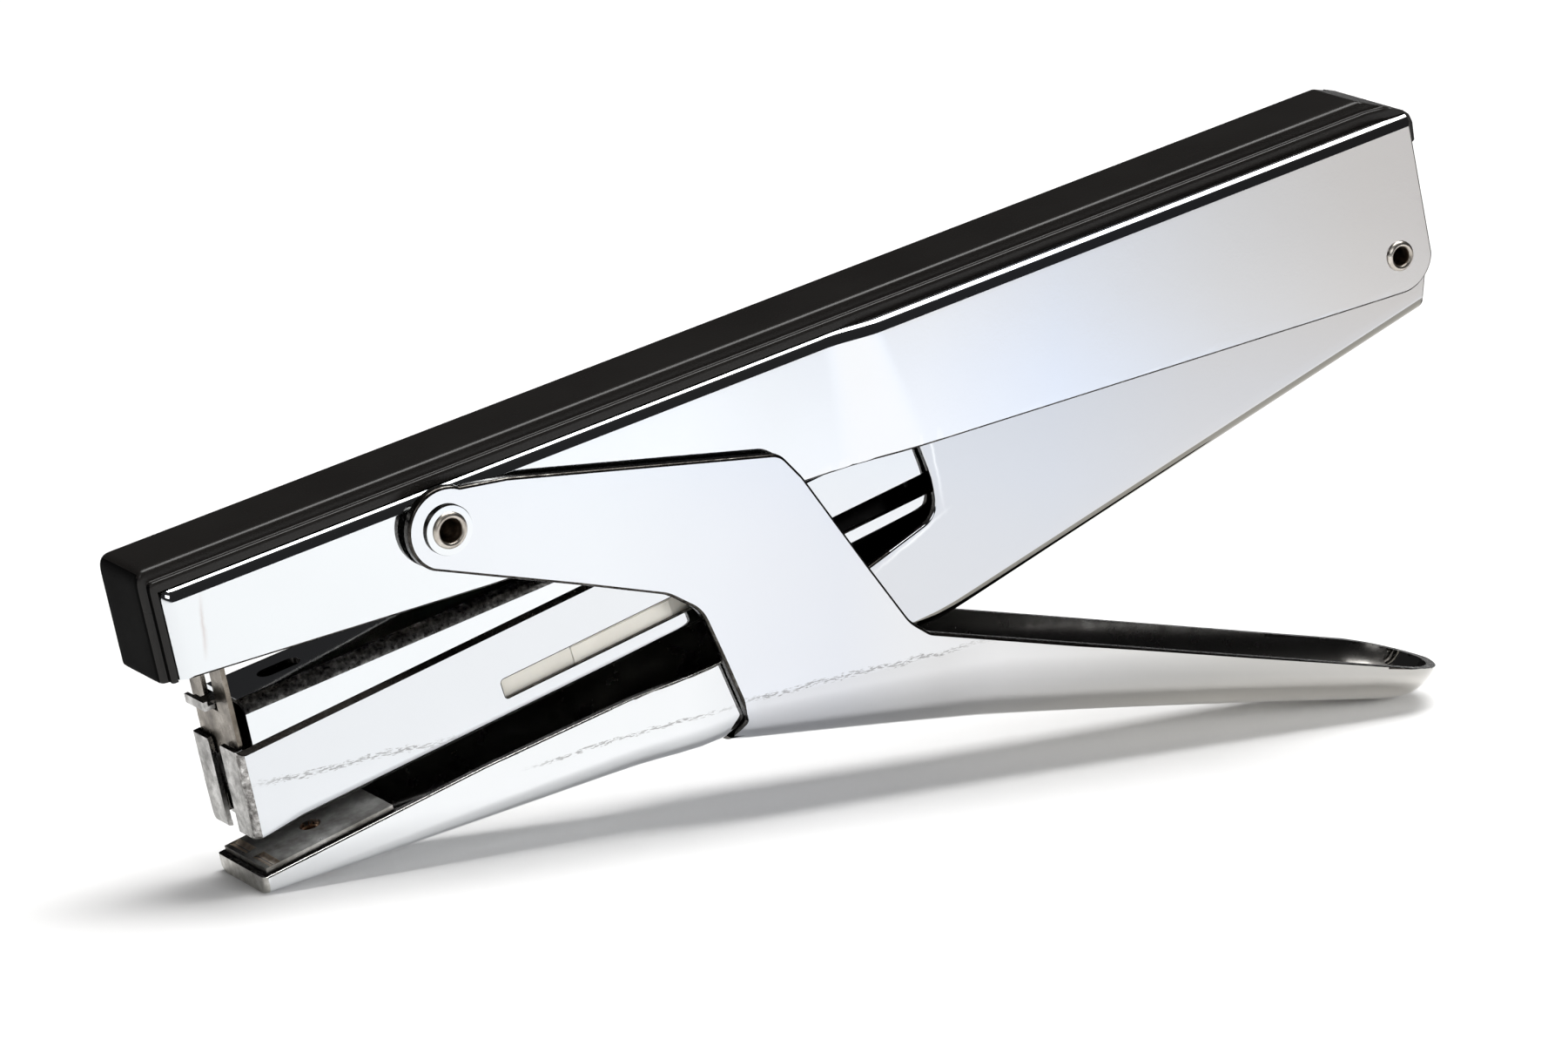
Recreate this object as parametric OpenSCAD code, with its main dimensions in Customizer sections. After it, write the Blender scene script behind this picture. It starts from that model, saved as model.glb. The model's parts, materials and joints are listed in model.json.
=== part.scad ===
// Plier stapler: a long chromed arm with a plastic strip on top, a magazine and an
// anvil arm hinged inside its rear end, and a squeeze lever hinged near its front.
// Shapes are drawn in the arm's own axes (X to the rear, Y across, Z up, the rear
// hinge at the origin) and then placed standing on the anvil tip and the lever tip.

/* [Stance] */
// Angle by which the arm leans back when the stapler stands open, degrees
tilt = 12.97; // [12:0.01:13.5]
// Height of the rear hinge above the table
lift = 68.53; // [60:0.01:80]
// Distance of the rear hinge behind the middle of the outline
shift = 91.45; // [85:0.01:105]

/* [Upper arm] */
// Distance from the rear hinge to the front wall of the arm
arm_front = 196; // [194.5:0.5:198]
// Outside half-width of the narrow front length
arm_hw_f = 8.2; // [8.1:0.05:8.3]
// Outside half-width of the wide rear length
arm_hw_r = 9.8; // [9.7:0.05:10]
// Sheet thickness of the arm
arm_t = 0.8; // [0.6:0.05:0.9]
// Height of the arm's top face above the rear hinge
arm_top = 19.7; // [19.5:0.1:20]
// Bend radius along the top edges
arm_bend = 2; // [1.2:0.1:2.5]

/* [Top strip] */
// Height of the strip's crown above the rear hinge
crown_z = 22.8; // [22.3:0.1:23.5]
// Width of the flat crown
crown_w = 12; // [10:0.5:13]
// Thickness of the strip's front wall
strip_front_t = 2.1; // [1.5:0.1:2.5]

/* [Magazine] */
// Angle between the magazine and the arm, degrees
mag_a = 4.2; // [4:0.1:4.4]
// Outside half-width of the magazine channel
mag_hw = 7.15; // [7.1:0.05:7.2]
// Sheet thickness of the magazine channel
mag_t = 0.65; // [0.5:0.05:0.7]
// Height of the channel's side walls above the hinge line
mag_up = 8.6; // [8:0.1:9]
// Depth of the channel below the hinge line
mag_dn = 4.9; // [4.8:0.1:5]
// Length of the glued strip of staples
staples_l = 36; // [10:1:36]

/* [Anvil arm] */
// Outside half-width of the front length
anv_hw_f = 7.15; // [7:0.05:7.2]
// Outside half-width of the rear length
anv_hw_r = 8.7; // [8.6:0.05:8.75]
// Sheet thickness of the anvil arm
anv_t = 0.9; // [0.7:0.05:0.9]

/* [Hand lever] */
// Outside half-width across the two side plates
lev_hw = 10.4; // [10.3:0.05:10.6]
// Sheet thickness of the lever
lev_t = 1.3; // [1.2:0.05:1.35]
// Radius of the bends along the lever's underside
lev_bend = 5; // [3:0.5:5]

/* [Rivets] */
// Shank radius of the tubular rivet that carries the lever
lev_pin_r = 2.1; // [1.9:0.05:2.2]
// Shank radius of the tubular rivet at the rear hinge
rear_pin_r = 1.9; // [1.7:0.05:2]

/* [Hidden] */
$fn = 48;
fit = 0.05;

lev_px = -154.8;   // lever hinge, X
lev_pz = 14.4;     // lever hinge, Z
chrome = [0.82, 0.83, 0.85];
nickel = [0.70, 0.67, 0.62];

// ---- helpers -------------------------------------------------------------
module place() { translate([shift, 0, lift]) rotate([0, -tilt, 0]) children(); }
// extrude an X-Z outline across Y, centred
module side(w) { rotate([90, 0, 0]) linear_extrude(w, center = true) children(); }
// extrude a Y-Z section along X from x0 over length l
module along(x0, l) { translate([x0, 0, 0]) rotate([90, 0, 90]) linear_extrude(l) children(); }
// Y-Z section with rounded upper corners, from z0 up to z1
module sec_top(hw, z0, z1, r) {
    translate([-hw, z0]) square([2 * hw, z1 - z0 - r]);
    translate([-hw + r, z0]) square([2 * (hw - r), z1 - z0]);
    for (s = [-1, 1]) translate([s * (hw - r), z1 - r]) circle(r);
}
// Y-Z section with rounded lower corners, from z0 up to z1
module sec_bot(hw, z0, z1, r) {
    translate([-hw, z0 + r]) square([2 * hw, z1 - z0 - r]);
    translate([-hw + r, z0]) square([2 * (hw - r), z1 - z0]);
    for (s = [-1, 1]) translate([s * (hw - r), z0 + r]) circle(r);
}
// Y-Z section with all four corners rounded
module sec_box(hw, z0, z1, r) {
    translate([-hw, z0 + r]) square([2 * hw, z1 - z0 - 2 * r]);
    translate([-hw + r, z0]) square([2 * (hw - r), z1 - z0]);
    for (s = [-1, 1]) for (z = [z0 + r, z1 - r]) translate([s * (hw - r), z]) circle(r);
}
module pin(x, z, r, y0, y1) { translate([x, y1, z]) rotate([90, 0, 0]) cylinder(r = r, h = y1 - y0); }
module tube_y(x, z, ro, ri, y0, y1) {
    difference() { pin(x, z, ro, y0, y1); pin(x, z, ri, y0 - 1, y1 + 1); }
}

// ---- upper arm -------------------------------------------------------------
function arm_low(x) = -5.7 - x * 0.0657;   // lower edge of the side walls
module arm_outline(x0, x1) {
    polygon([[x0, arm_low(x0)], [x1, arm_low(x1)], [x1, 30], [x0, 30]]);
}
// outside of the arm, or its inside when d is the sheet thickness
module arm_bulk(d) {
    r = max(arm_bend - d, 0.6);
    x0 = -arm_front + d;
    z1 = arm_top - d;
    // narrow front length, its rear limit slanting with the pressed step
    intersection() {
        along(x0, 120) sec_top(arm_hw_f - d, -30, z1, r);
        side(40) polygon([[x0 - 1, -40], [-75, -40], [-92, 24], [x0 - 1, 24]]);
        translate([0, 0, -40]) linear_extrude(80) union() {
            translate([x0 + r, -20]) square([130, 40]);
            translate([x0, -arm_hw_f + d + r]) square([10, 2 * (arm_hw_f - d - r)]);
            for (s = [-1, 1]) translate([x0 + r, s * (arm_hw_f - d - r)]) circle(r);
        }
    }
    // pressed step between the two widths
    hull() {
        intersection() {
            along(-100, 40) sec_top(arm_hw_f - d, -30, z1, r, $fn = 32);
            side(40) polygon([[-80.02, -22], [-80, -22], [-91.4, 21], [-91.42, 21]]);
        }
        intersection() {
            along(-100, 40) sec_top(arm_hw_r - d, -30, z1, r, $fn = 32);
            side(40) polygon([[-76.02, -22], [-75.98, -22], [-87.38, 21], [-87.42, 21]]);
        }
    }
    // wide rear length
    intersection() {
        along(-95, 110) sec_top(arm_hw_r - d, -30, z1, r);
        side(40) polygon([[-73.88, -30], [20, -30], [20, 24], [-88.2, 24]]);
    }
}
module upper_arm() color(chrome) place() difference() {
    intersection() {
        arm_bulk(0);
        side(40) union() {
            polygon([[-arm_front - 1, arm_low(-arm_front)], [0, -5.7], [0, 24], [-arm_front - 1, 24]]);
            translate([-1, -1]) square([6.5, 25]);
            intersection() { circle(5.7); translate([-1, -8]) square([6.5, 10]); }
        }
    }
    intersection() {
        arm_bulk(arm_t);
        translate([-arm_front + arm_t, -30, -60]) cube([300, 60, 100]);
    }
    pin(lev_px, lev_pz, lev_pin_r + 0.02, -20, 20);
    pin(0, 0, rear_pin_r + 0.02, -20, 20);
    for (x = [-176, -100, -14]) translate([x, 0, 15]) cylinder(r = 1.22, h = 10);
}

// ---- plastic strip along the top -------------------------------------------
module strip_solid() {
    // low ledge that lies on the arm
    along(-arm_front - 0.5, arm_front + 6) sec_top(crown_w / 2 + 0.8, arm_top, arm_top + 1.9, 0.7);
    // raised crown, sloping down at its rear end
    intersection() {
        along(-arm_front - strip_front_t, arm_front + 10) sec_top(crown_w / 2, arm_top, crown_z, 0.5);
        side(40) polygon([[-arm_front - strip_front_t, 0], [5, 0], [5, arm_top + 1.9], [-0.5, crown_z + 0.01],
                          [-arm_front - strip_front_t + 1.2, crown_z + 0.01], [-arm_front - strip_front_t, crown_z - 1.2]]);
    }
    // front wall that hides the arm's front end
    difference() {
        intersection() {
            along(-arm_front - strip_front_t, strip_front_t + 1.2) sec_top(arm_hw_f - 0.1, 6.8, crown_z - 0.6, 1.6);
            translate([0, 0, 0]) linear_extrude(40) union() {
                translate([-arm_front - strip_front_t + 2, -10]) square([10, 20]);
                translate([-arm_front - strip_front_t, -arm_hw_f + 2.1]) square([10, 2 * arm_hw_f - 4.2]);
                for (s = [-1, 1]) translate([-arm_front - strip_front_t + 2, s * (arm_hw_f - 2.1)]) circle(2);
            }
        }
        // seat for the arm's rounded front
        intersection() {
            arm_bulk(0);
            side(40) polygon([[-arm_front - 1, -10], [-150, -10], [-150, arm_top], [-arm_front - 1, arm_top]]);
        }
    }
    // rear lip behind the arm
    difference() {
        along(5.5, 1.5) sec_top(arm_hw_r - 0.6, 15, arm_top + 1.2, 0.8);
        translate([5, -20, 10]) cube([0.05, 40, 20]);
    }
    along(-2, 8) sec_top(arm_hw_r - 2, arm_top, arm_top + 1.2, 0.6);
}
module top_strip() color([0.06, 0.06, 0.07]) place() difference() {
    strip_solid();
    for (x = [-176, -100, -14]) translate([x, 0, 15]) cylinder(r = 1.22, h = 6.6);
}
module strip_rivets() color(nickel) place() for (x = [-176, -100, -14]) {
    translate([x, 0, arm_top - arm_t - 0.8]) cylinder(r = 2.4, h = 0.8);
    translate([x, 0, arm_top - arm_t - 0.1]) cylinder(r = 1.2, h = 2.6);
}

// ---- driver ------------------------------------------------------------------
module driver_blade() color(nickel) place() difference() {
    translate([-189.3, -5.6, -8.2]) cube([0.7, 11.2, 26.9]);
    translate([-190, -1.7, -1.3]) cube([3, 3.4, 12.7]);
    for (s = [-1, 1]) translate([-192, s * 3.8, 15.2]) rotate([0, 90, 0]) cylinder(r = 1.22, h = 8);
}
module driver_holder() color(nickel) place() difference() {
    along(-188.6, 6.2) sec_top(arm_hw_f - arm_t - 0.05, 11.9, arm_top - arm_t - 0.05, 1.4);
    translate([-187, -5.6, 11]) cube([8, 11.2, 6.4]);
    for (s = [-1, 1]) translate([-192, s * 3.8, 15.2]) rotate([0, 90, 0]) cylinder(r = 1.22, h = 12);
}
module driver_rivets() color([0.6, 0.6, 0.6]) place() for (s = [-1, 1]) translate([0, s * 3.8, 15.2]) rotate([0, 90, 0]) {
    translate([0, 0, -189.9]) cylinder(r = 2, h = 0.6);
    translate([0, 0, -189.4]) cylinder(r = 1.2, h = 2.5);
    translate([0, 0, -187]) cylinder(r = 1.7, h = 0.5);
}

// ---- magazine ------------------------------------------------------------------
module mag() { rotate([0, -mag_a, 0]) children(); }
module mag_slot_cut() {
    side(40) union() {
        translate([-149.6, -1.85]) square([78, 2.75]);
        for (x = [-149.6, -71.6]) translate([x, -0.475]) circle(1.375);
    }
}
module magazine_channel() color(chrome) place() difference() {
    intersection() {
        mag() along(-200, 210) sec_bot(mag_hw, -mag_dn, mag_up, 1.7);
        side(40) union() {
            polygon([[-190.3, -40], [-190.3, 30], [-1, 30], [-1, -40]]);
            circle(4.85);
        }
    }
    // inside, open to the top
    intersection() {
        mag() along(-200, 230) sec_bot(mag_hw - mag_t, -mag_dn + mag_t, mag_up + 9, 1.05);
        side(40) polygon([[-189.6, -40], [-189.6, 40], [20, 40], [20, -40]]);
    }
    // slot between the front flanges, flared at its top
    side(3.4) polygon([[-192, -40], [-187.6, -40], [-187.6, 10], [-192, 10]]);
    translate([-190, 0, -5.2]) rotate([45, 0, 0]) cube([1.5, 3.6, 3.6], center = true);
    // way out for the staple through the floor
    translate([-189.6, -mag_hw + mag_t, -25]) cube([2.1, 2 * (mag_hw - mag_t), 9]);
    mag() mag_slot_cut();
    pin(0, 0, rear_pin_r + fit, -20, 20);
}
cov_a = 1.6;                    // slope of the cover
cov_hw = mag_hw - mag_t - 0.1; // outside half-width of the cover
module cover_outline(d) {
    polygon([[-187.5, 0.5 - d], [-187.5, -11.2], [-30, 0.6], [-14, 0.6], [-7, -3.6], [0, -3.6],
             [0, 3.9], [-16, 5.4 - d], [-16, 5.4 - d]]);
}
module magazine_cover() color(chrome) place() difference() {
    union() {
        difference() {
            intersection() {
                translate([0, 0, 5.72]) rotate([0, -cov_a, 0]) along(-200, 210) sec_top(cov_hw, -30, 0, 2);
                side(40) union() { cover_outline(-3); circle(3.9); }
            }
            translate([0, 0, 5.72]) rotate([0, -cov_a, 0]) along(-210, 230) sec_top(cov_hw - 0.7, -40, -0.7, 1.3);
        }
        // guide tab that reaches through the driver's window
        translate([-190.2, -1.4, -0.2]) cube([3.2, 2.8, 0.6]);
        translate([-191.6, -2.85, -0.2]) cube([1.6, 5.7, 0.6]);
        translate([-191.6, -2.85, -0.2]) cube([0.6, 5.7, 1.3]);
    }
    // long hole near the front
    translate([-178.7, 0, -3]) linear_extrude(8) union() {
        square([3.4, 3], center = true);
        for (s = [-1, 1]) translate([s * 1.7, 0]) circle(1.5);
    }
    pin(0, 0, rear_pin_r + fit, -20, 20);
}
st_hw = 6.4;
module staple_strip() color([0.72, 0.74, 0.76]) place() mag() difference() {
    along(-187.6, staples_l) sec_top(st_hw, -3.5, 2.3, 0.5);
    along(-187.6 - 1, staples_l + 2) translate([-st_hw + 0.55, -20]) square([2 * st_hw - 1.1, 21.75]);
}
pus_x = -151.5;
module staple_pusher() color([0.90, 0.86, 0.74]) place() mag() difference() {
    union() {
        along(pus_x, 27.5) sec_box(6.3, -mag_dn + mag_t + 0.1, 2.1, 1.15);
        side(8) polygon([[pus_x, 1.5], [pus_x + 20, 1.5], [pus_x + 16, 3.6], [pus_x + 4, 3.6]]);
    }
    // bore for the guide rod and a pocket for the end of its spring
    translate([pus_x - 1, 0, -1]) rotate([0, 90, 0]) cylinder(r = 1.06, h = 40);
    translate([pus_x + 20, 0, -1]) rotate([0, 90, 0]) cylinder(r = 2.2, h = 12);
    // lightening recesses in both flanks
    for (s = [-1, 1]) translate([pus_x + 9, s * 6.3, -0.5]) cube([1.6, 1.2, 2.2], center = true);
}
module guide_rod() color(nickel) place() mag() {
    translate([-185.5, 0, -1]) rotate([0, 90, 0]) cylinder(r = 1, h = 142.7);
    translate([-44, 0, -1]) rotate([0, 90, 0]) cylinder(r = 1.8, h = 1.2);
}
module rod_bracket() color(nickel) place() mag() difference() {
    union() {
        along(-45.2, 1.2) sec_box(st_hw, -mag_dn + mag_t + 0.02, 1.75, 1.15);
        translate([-45.2, -st_hw + 1.2, -mag_dn + mag_t + 0.02]) cube([7, 2 * st_hw - 2.4, 1]);
    }
    translate([-50, 0, -1]) rotate([0, 90, 0]) cylinder(r = 1.02, h = 10);
}
// one coil spring as a swept tube: wire radius wr, coil radius cr, n turns over length l
function coil_pt(cr, n, l, t) = [l * t, cr * cos(360 * n * t), cr * sin(360 * n * t)];
module coil(wr, cr, n, l, seg = 10, k = 6) {
    m = round(n * seg);
    pts = [for (i = [0:m]) let (t = i / m, a = 360 * n * t)
              for (j = [0:k - 1]) let (b = 360 * j / k)
                  coil_pt(cr, n, l, t) + wr * (cos(b) * [0, cos(a), sin(a)] + sin(b) * [1, 0, 0])];
    faces = concat([[for (j = [0:k - 1]) j]], [[for (j = [0:k - 1]) m * k + k - 1 - j]],
        [for (i = [0:m - 1]) for (j = [0:k - 1]) [i * k + j, (i + 1) * k + j, (i + 1) * k + (j + 1) % k]],
        [for (i = [0:m - 1]) for (j = [0:k - 1]) [i * k + j, (i + 1) * k + (j + 1) % k, i * k + (j + 1) % k]]);
    polyhedron(points = pts, faces = faces, convexity = 10);
}
module pusher_spring() color([0.75, 0.75, 0.76]) place() mag()
    translate([pus_x + 20.3, 0, -1]) coil(0.3, 1.65, 18, 85.7, 10, 5);

// ---- anvil arm -------------------------------------------------------------------
module anv_outline(d, up) {
    // d lifts the floor by the sheet thickness
    polygon([[-190.7, -26.4 + d], [-121, -31.5 + d], [-90, -26.6 + d], [-83, -26.3 + d], [2.9, -9.6 + d],
             [5, -3], [5, 4], [2, 7], [-80, 7.5], [-82.5, 5 + up], [-81.3, -3], [-80.6, -7.5], [-81.5, -9.9],
             [-84, -11.7], [-92.9, -14.2], [-117.8, -19.1], [-155.3, -20.9], [-190.7, -23.8]]);
}
module anv_plan(d) {
    h1 = anv_hw_f - d; h2 = anv_hw_r - d;
    translate([0, 0, -60]) linear_extrude(100)
        polygon([[-200, -h1], [-112, -h1], [-102, -h2], [20, -h2], [20, h2], [-102, h2], [-112, h1], [-200, h1]]);
}
module anvil_arm() color(chrome) place() difference() {
    intersection() { side(30) anv_outline(0, 0); anv_plan(0); }
    intersection() {
        side(30) polygon([[-189.8, -26.46 + anv_t], [-121, -31.5 + anv_t], [-90, -26.6 + anv_t], [-83, -26.3 + anv_t],
                          [10, -8.15 + anv_t], [10, 30], [-189.8, 30]]);
        anv_plan(anv_t);
    }
    // broken lower edges
    for (s = [-1, 1]) for (b = [[-155.9, -28.95, 4.19, 85, anv_hw_f], [-105.5, -29.05, -8.98, 40, anv_hw_r], [-38, -17.6, -11.0, 96, anv_hw_r]])
        translate([b[0], s * b[4], b[1]]) rotate([0, b[2], 0]) rotate([s * 45, 0, 0]) cube([b[3], 2, 2], center = true);
    pin(0, 0, rear_pin_r + fit, -20, 20);
    translate([-179.5, 0, -40]) cylinder(r = 1.52, h = 30);
}
anv_a = 4.7;   // slope of the anvil face
module anvil_plate() color([0.66, 0.65, 0.62]) place() difference() {
    translate([-189.75, 0, -23.0]) rotate([0, -anv_a, 0]) translate([0, -anv_hw_f + anv_t + 0.03, -1.3])
        cube([20, 2 * (anv_hw_f - anv_t - 0.03), 1.3]);
    // two clinch grooves
    for (s = [-1, 1]) translate([-188.3, s * 3.6, -21.9]) rotate([90, 0, 0]) cylinder(r = 1.3, h = 5.2, center = true);
    translate([-179.5, 0, -40]) cylinder(r = 1.52, h = 30);
}
module anvil_rivet() color([0.72, 0.45, 0.30]) place() difference() {
    union() {
        translate([-179.5, 0, -27.9]) cylinder(r = 1.5, h = 5.5);
        translate([-179.5, 0, -26.1]) cylinder(r = 2.4, h = 2);
    }
    translate([-179.5, 0, -40]) cylinder(r = 0.95, h = 30);
    // flush with the underside of the arm
    side(20) polygon([[-190, -40], [-170, -40], [-170, -27.92], [-190, -26.46]]);
}

// ---- hand lever --------------------------------------------------------------------
lev_a = 18.3;  // slope of the lever's underside
module lev_outline() {
    union() {
        translate([lev_px, lev_pz]) circle(5.9);
        offset(r = 2.5, $fn = 40) offset(delta = -2.5)
            polygon([[lev_px - 2.6, lev_pz - 5.3], [lev_px + 1.5, lev_pz + 5.7], [-103.6, 6.8], [-101.2, 2.2], [-88.2, -26],
                     [-86, -26.5], [3, -66.7], [3, -75], [-116.2, -36], [-116.2, -30], [-120.2, -11], [-124.5, -6.6], [-157.3, 9.0]]);
    }
}
module lev_tube(d) {
    // trough section, following the slope of the underside
    intersection() {
        translate([-116, 0, -32.6]) rotate([0, lev_a, 0]) along(-90, 240) sec_bot(lev_hw - d, d, 90, max(lev_bend - d, 1));
        // rounded rear tip in plan
        translate([0, 0, -100]) linear_extrude(150) union() {
            translate([-200, -lev_hw + d]) square([190.6, 2 * (lev_hw - d)]);
            translate([-9.4, 0]) circle(lev_hw - d);
        }
        // rounded underside of the tip
        side(40) union() {
            translate([-200, -100]) square([193, 200]);
            translate([-5, -63]) circle(6 - d);
            translate([-12, -63]) square([30, 80]);
        }
    }
}
module hand_lever() color(chrome) place() difference() {
    union() {
        difference() {
            intersection() { lev_tube(0); side(40) lev_outline(); }
            lev_tube(lev_t);
        }
        // rolled front edge of the floor, which lifts the anvil arm
        pin(-118.3, -32.8, 1.6, -7.6, 7.6);
        intersection() {
            side(15.2) polygon([[-118.6, -34.36], [-118.2, -31.9], [-115, -31.9], [-115, -32.9]]);
            translate([-125, -10, -40]) cube([12, 20, 10]);
        }
    }
    pin(lev_px, lev_pz, lev_pin_r + fit, -20, 20);
}

// ---- rivets, washers, bush -----------------------------------------------------------
module lever_rivet() color(nickel) place() union() {
    tube_y(lev_px, lev_pz, lev_pin_r, lev_pin_r - 0.5, -11.2, 11.2);
    for (s = [-1, 1]) tube_y(lev_px, lev_pz, 2.55, lev_pin_r - 0.5, s > 0 ? 11.05 : -11.55, s > 0 ? 11.55 : -11.05);
}
module lever_washers() color(chrome) place() for (s = [-1, 1])
    tube_y(lev_px, lev_pz, 3.5, lev_pin_r + 0.02, s > 0 ? 10.45 : -11, s > 0 ? 11 : -10.45);
module lever_spacers() color(nickel) place() for (s = [-1, 1])
    tube_y(lev_px, lev_pz, 3.6, lev_pin_r + 0.02, s > 0 ? arm_hw_f + 0.02 : -8.95, s > 0 ? 8.95 : -arm_hw_f - 0.02);
module rear_rivet() color(nickel) place() union() {
    tube_y(0, 0, rear_pin_r, rear_pin_r - 0.6, -10, 10);
    for (s = [-1, 1]) tube_y(0, 0, 2.2, rear_pin_r - 0.6, s > 0 ? arm_hw_r : -10.4, s > 0 ? 10.4 : -arm_hw_r);
}
module rear_washers() color(nickel) place() for (s = [-1, 1])
    tube_y(0, 0, 3.6, rear_pin_r + 0.02, s > 0 ? 7.25 : -7.7, s > 0 ? 7.7 : -7.25);
module rear_bush() color(nickel) place() tube_y(0, 0, 2.9, rear_pin_r + 0.02, -5.6, 5.6);

// ---- return springs --------------------------------------------------------------------
// strip of spring steel along a curve z(x) between x0 and x1
module leaf(x0, x1, z0, z1, bow, t, w) {
    n = 16;
    f = [for (i = [0:n]) let (u = i / n) [x0 + (x1 - x0) * u, z0 + (z1 - z0) * u + bow * sin(180 * u)]];
    side(w) polygon(concat(f, [for (i = [n:-1:0]) f[i] + [0, t]]));
}
module magazine_spring() color([0.55, 0.56, 0.58]) place() union() {
    translate([-40, -4.5, arm_top - arm_t - 0.5]) cube([12, 9, 0.5]);
    leaf(-86, -39.9, 3.5, arm_top - arm_t - 0.5, 2.6, 0.5, 9);
}
module jaw_spring() color([0.55, 0.56, 0.58]) place() union() {
    leaf(-70, -41.9, -10.7, -17.28, -1.2, 0.5, 9);
    side(9) polygon([[-42, -17.3], [-30, -14.97], [-30, -14.47], [-42, -16.8]]);
}

upper_arm();
top_strip();
strip_rivets();
driver_blade();
driver_holder();
driver_rivets();
magazine_channel();
magazine_cover();
staple_strip();
staple_pusher();
pusher_spring();
guide_rod();
rod_bracket();
anvil_arm();
anvil_plate();
anvil_rivet();
hand_lever();
lever_rivet();
lever_washers();
lever_spacers();
rear_rivet();
rear_washers();
rear_bush();
magazine_spring();
jaw_spring();
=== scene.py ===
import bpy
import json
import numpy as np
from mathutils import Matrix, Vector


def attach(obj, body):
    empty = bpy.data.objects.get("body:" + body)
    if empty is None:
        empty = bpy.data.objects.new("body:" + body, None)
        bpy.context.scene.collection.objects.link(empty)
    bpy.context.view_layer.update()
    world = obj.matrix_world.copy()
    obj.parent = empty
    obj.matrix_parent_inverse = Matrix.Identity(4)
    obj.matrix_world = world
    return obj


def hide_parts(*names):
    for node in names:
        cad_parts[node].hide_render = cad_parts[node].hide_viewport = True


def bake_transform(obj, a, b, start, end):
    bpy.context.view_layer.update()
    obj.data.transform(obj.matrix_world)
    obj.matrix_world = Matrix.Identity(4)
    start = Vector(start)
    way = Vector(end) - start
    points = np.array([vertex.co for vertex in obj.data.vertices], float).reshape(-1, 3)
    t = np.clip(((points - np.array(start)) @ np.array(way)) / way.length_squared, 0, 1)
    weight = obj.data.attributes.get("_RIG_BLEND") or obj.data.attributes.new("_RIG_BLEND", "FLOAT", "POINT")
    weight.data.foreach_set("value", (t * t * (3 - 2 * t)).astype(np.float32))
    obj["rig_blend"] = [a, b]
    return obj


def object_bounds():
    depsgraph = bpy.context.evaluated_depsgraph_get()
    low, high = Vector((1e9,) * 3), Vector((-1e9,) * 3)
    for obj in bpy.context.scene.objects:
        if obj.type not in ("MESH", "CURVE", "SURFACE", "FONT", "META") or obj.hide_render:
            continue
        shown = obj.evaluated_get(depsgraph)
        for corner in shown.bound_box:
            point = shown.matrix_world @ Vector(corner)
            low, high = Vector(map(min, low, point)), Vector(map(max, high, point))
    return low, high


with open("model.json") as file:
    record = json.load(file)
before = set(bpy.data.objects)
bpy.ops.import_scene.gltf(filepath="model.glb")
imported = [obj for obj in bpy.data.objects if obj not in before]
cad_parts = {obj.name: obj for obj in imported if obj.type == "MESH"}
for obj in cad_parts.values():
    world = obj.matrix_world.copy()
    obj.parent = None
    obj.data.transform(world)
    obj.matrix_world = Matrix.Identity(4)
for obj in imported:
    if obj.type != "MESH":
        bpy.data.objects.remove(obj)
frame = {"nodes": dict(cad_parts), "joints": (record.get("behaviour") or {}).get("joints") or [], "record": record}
_box0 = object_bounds()
_box0 = [list(map(float, _box0[0])), list(map(float, _box0[1]))]

import bpy, bmesh, json, math
import numpy as np
from mathutils import Vector, Matrix

# ------------------------------------------------------------------ frame helpers
# The arm's own axes (X to the rear, Y across, Z up, rear hinge at the origin, mm) are
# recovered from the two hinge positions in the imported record.
J = {j["name"]: j for j in frame["joints"]}
REAR = Vector(J["jaw_close"]["pos_m"])
LEVP = Vector(J["lever_squeeze"]["pos_m"])
d = LEVP - REAR
TILT = math.atan2(14.4, -154.8) - math.atan2(d.z, d.x)
TILT = -TILT
ct, st = math.cos(TILT), math.sin(TILT)


def P(x, y, z):
    """arm axes in mm -> row frame in m"""
    return Vector((REAR.x + (x * ct - z * st) / 1000.0, y / 1000.0, REAR.z + (x * st + z * ct) / 1000.0))


def ARR(a):
    a = np.asarray(a, float)
    out = np.empty_like(a)
    out[..., 0] = REAR.x + (a[..., 0] * ct - a[..., 2] * st) / 1000.0
    out[..., 1] = a[..., 1] / 1000.0
    out[..., 2] = REAR.z + (a[..., 0] * st + a[..., 2] * ct) / 1000.0
    return out


def link(o):
    bpy.context.scene.collection.objects.link(o)
    return o


# ------------------------------------------------------------------ camera
# a long lens in front of the jaws, to the left and a little above
cam_data = bpy.data.cameras.new("camera")
cam = link(bpy.data.objects.new("camera", cam_data))
F_PX = 8452.0
cam_data.sensor_fit = "HORIZONTAL"
cam_data.sensor_width = 36.0
cam_data.lens = F_PX / 1801.0 * 36.0
cam_data.clip_start = 0.05
cam_data.clip_end = 20
Xc = np.array([.8406, -.3362, .4249]); Bc = np.array([.5068, .2110, -.8358])
Xc /= np.linalg.norm(Xc); Bc -= Bc.dot(Xc) * Xc; Bc /= np.linalg.norm(Bc); Cc = np.cross(Xc, Bc)
R = np.stack([Xc, -Bc, -Cc], axis=1)            # arm axes -> camera (right, down, forward)
D = 1050.0
ray = np.array([(1607 - 900.5) / F_PX, (293.5 - 600.5) / F_PX, 1.0])
T = ray * D - R @ np.array([0, -9.6, 0])
pos = -R.T @ T                                   # camera position, arm axes, mm
right = R.T @ np.array([1, 0, 0]); down = R.T @ np.array([0, 1, 0]); fwd = R.T @ np.array([0, 0, 1])


def rotv(v):
    return Vector((v[0] * ct - v[2] * st, v[1], v[0] * st + v[2] * ct))


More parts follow.
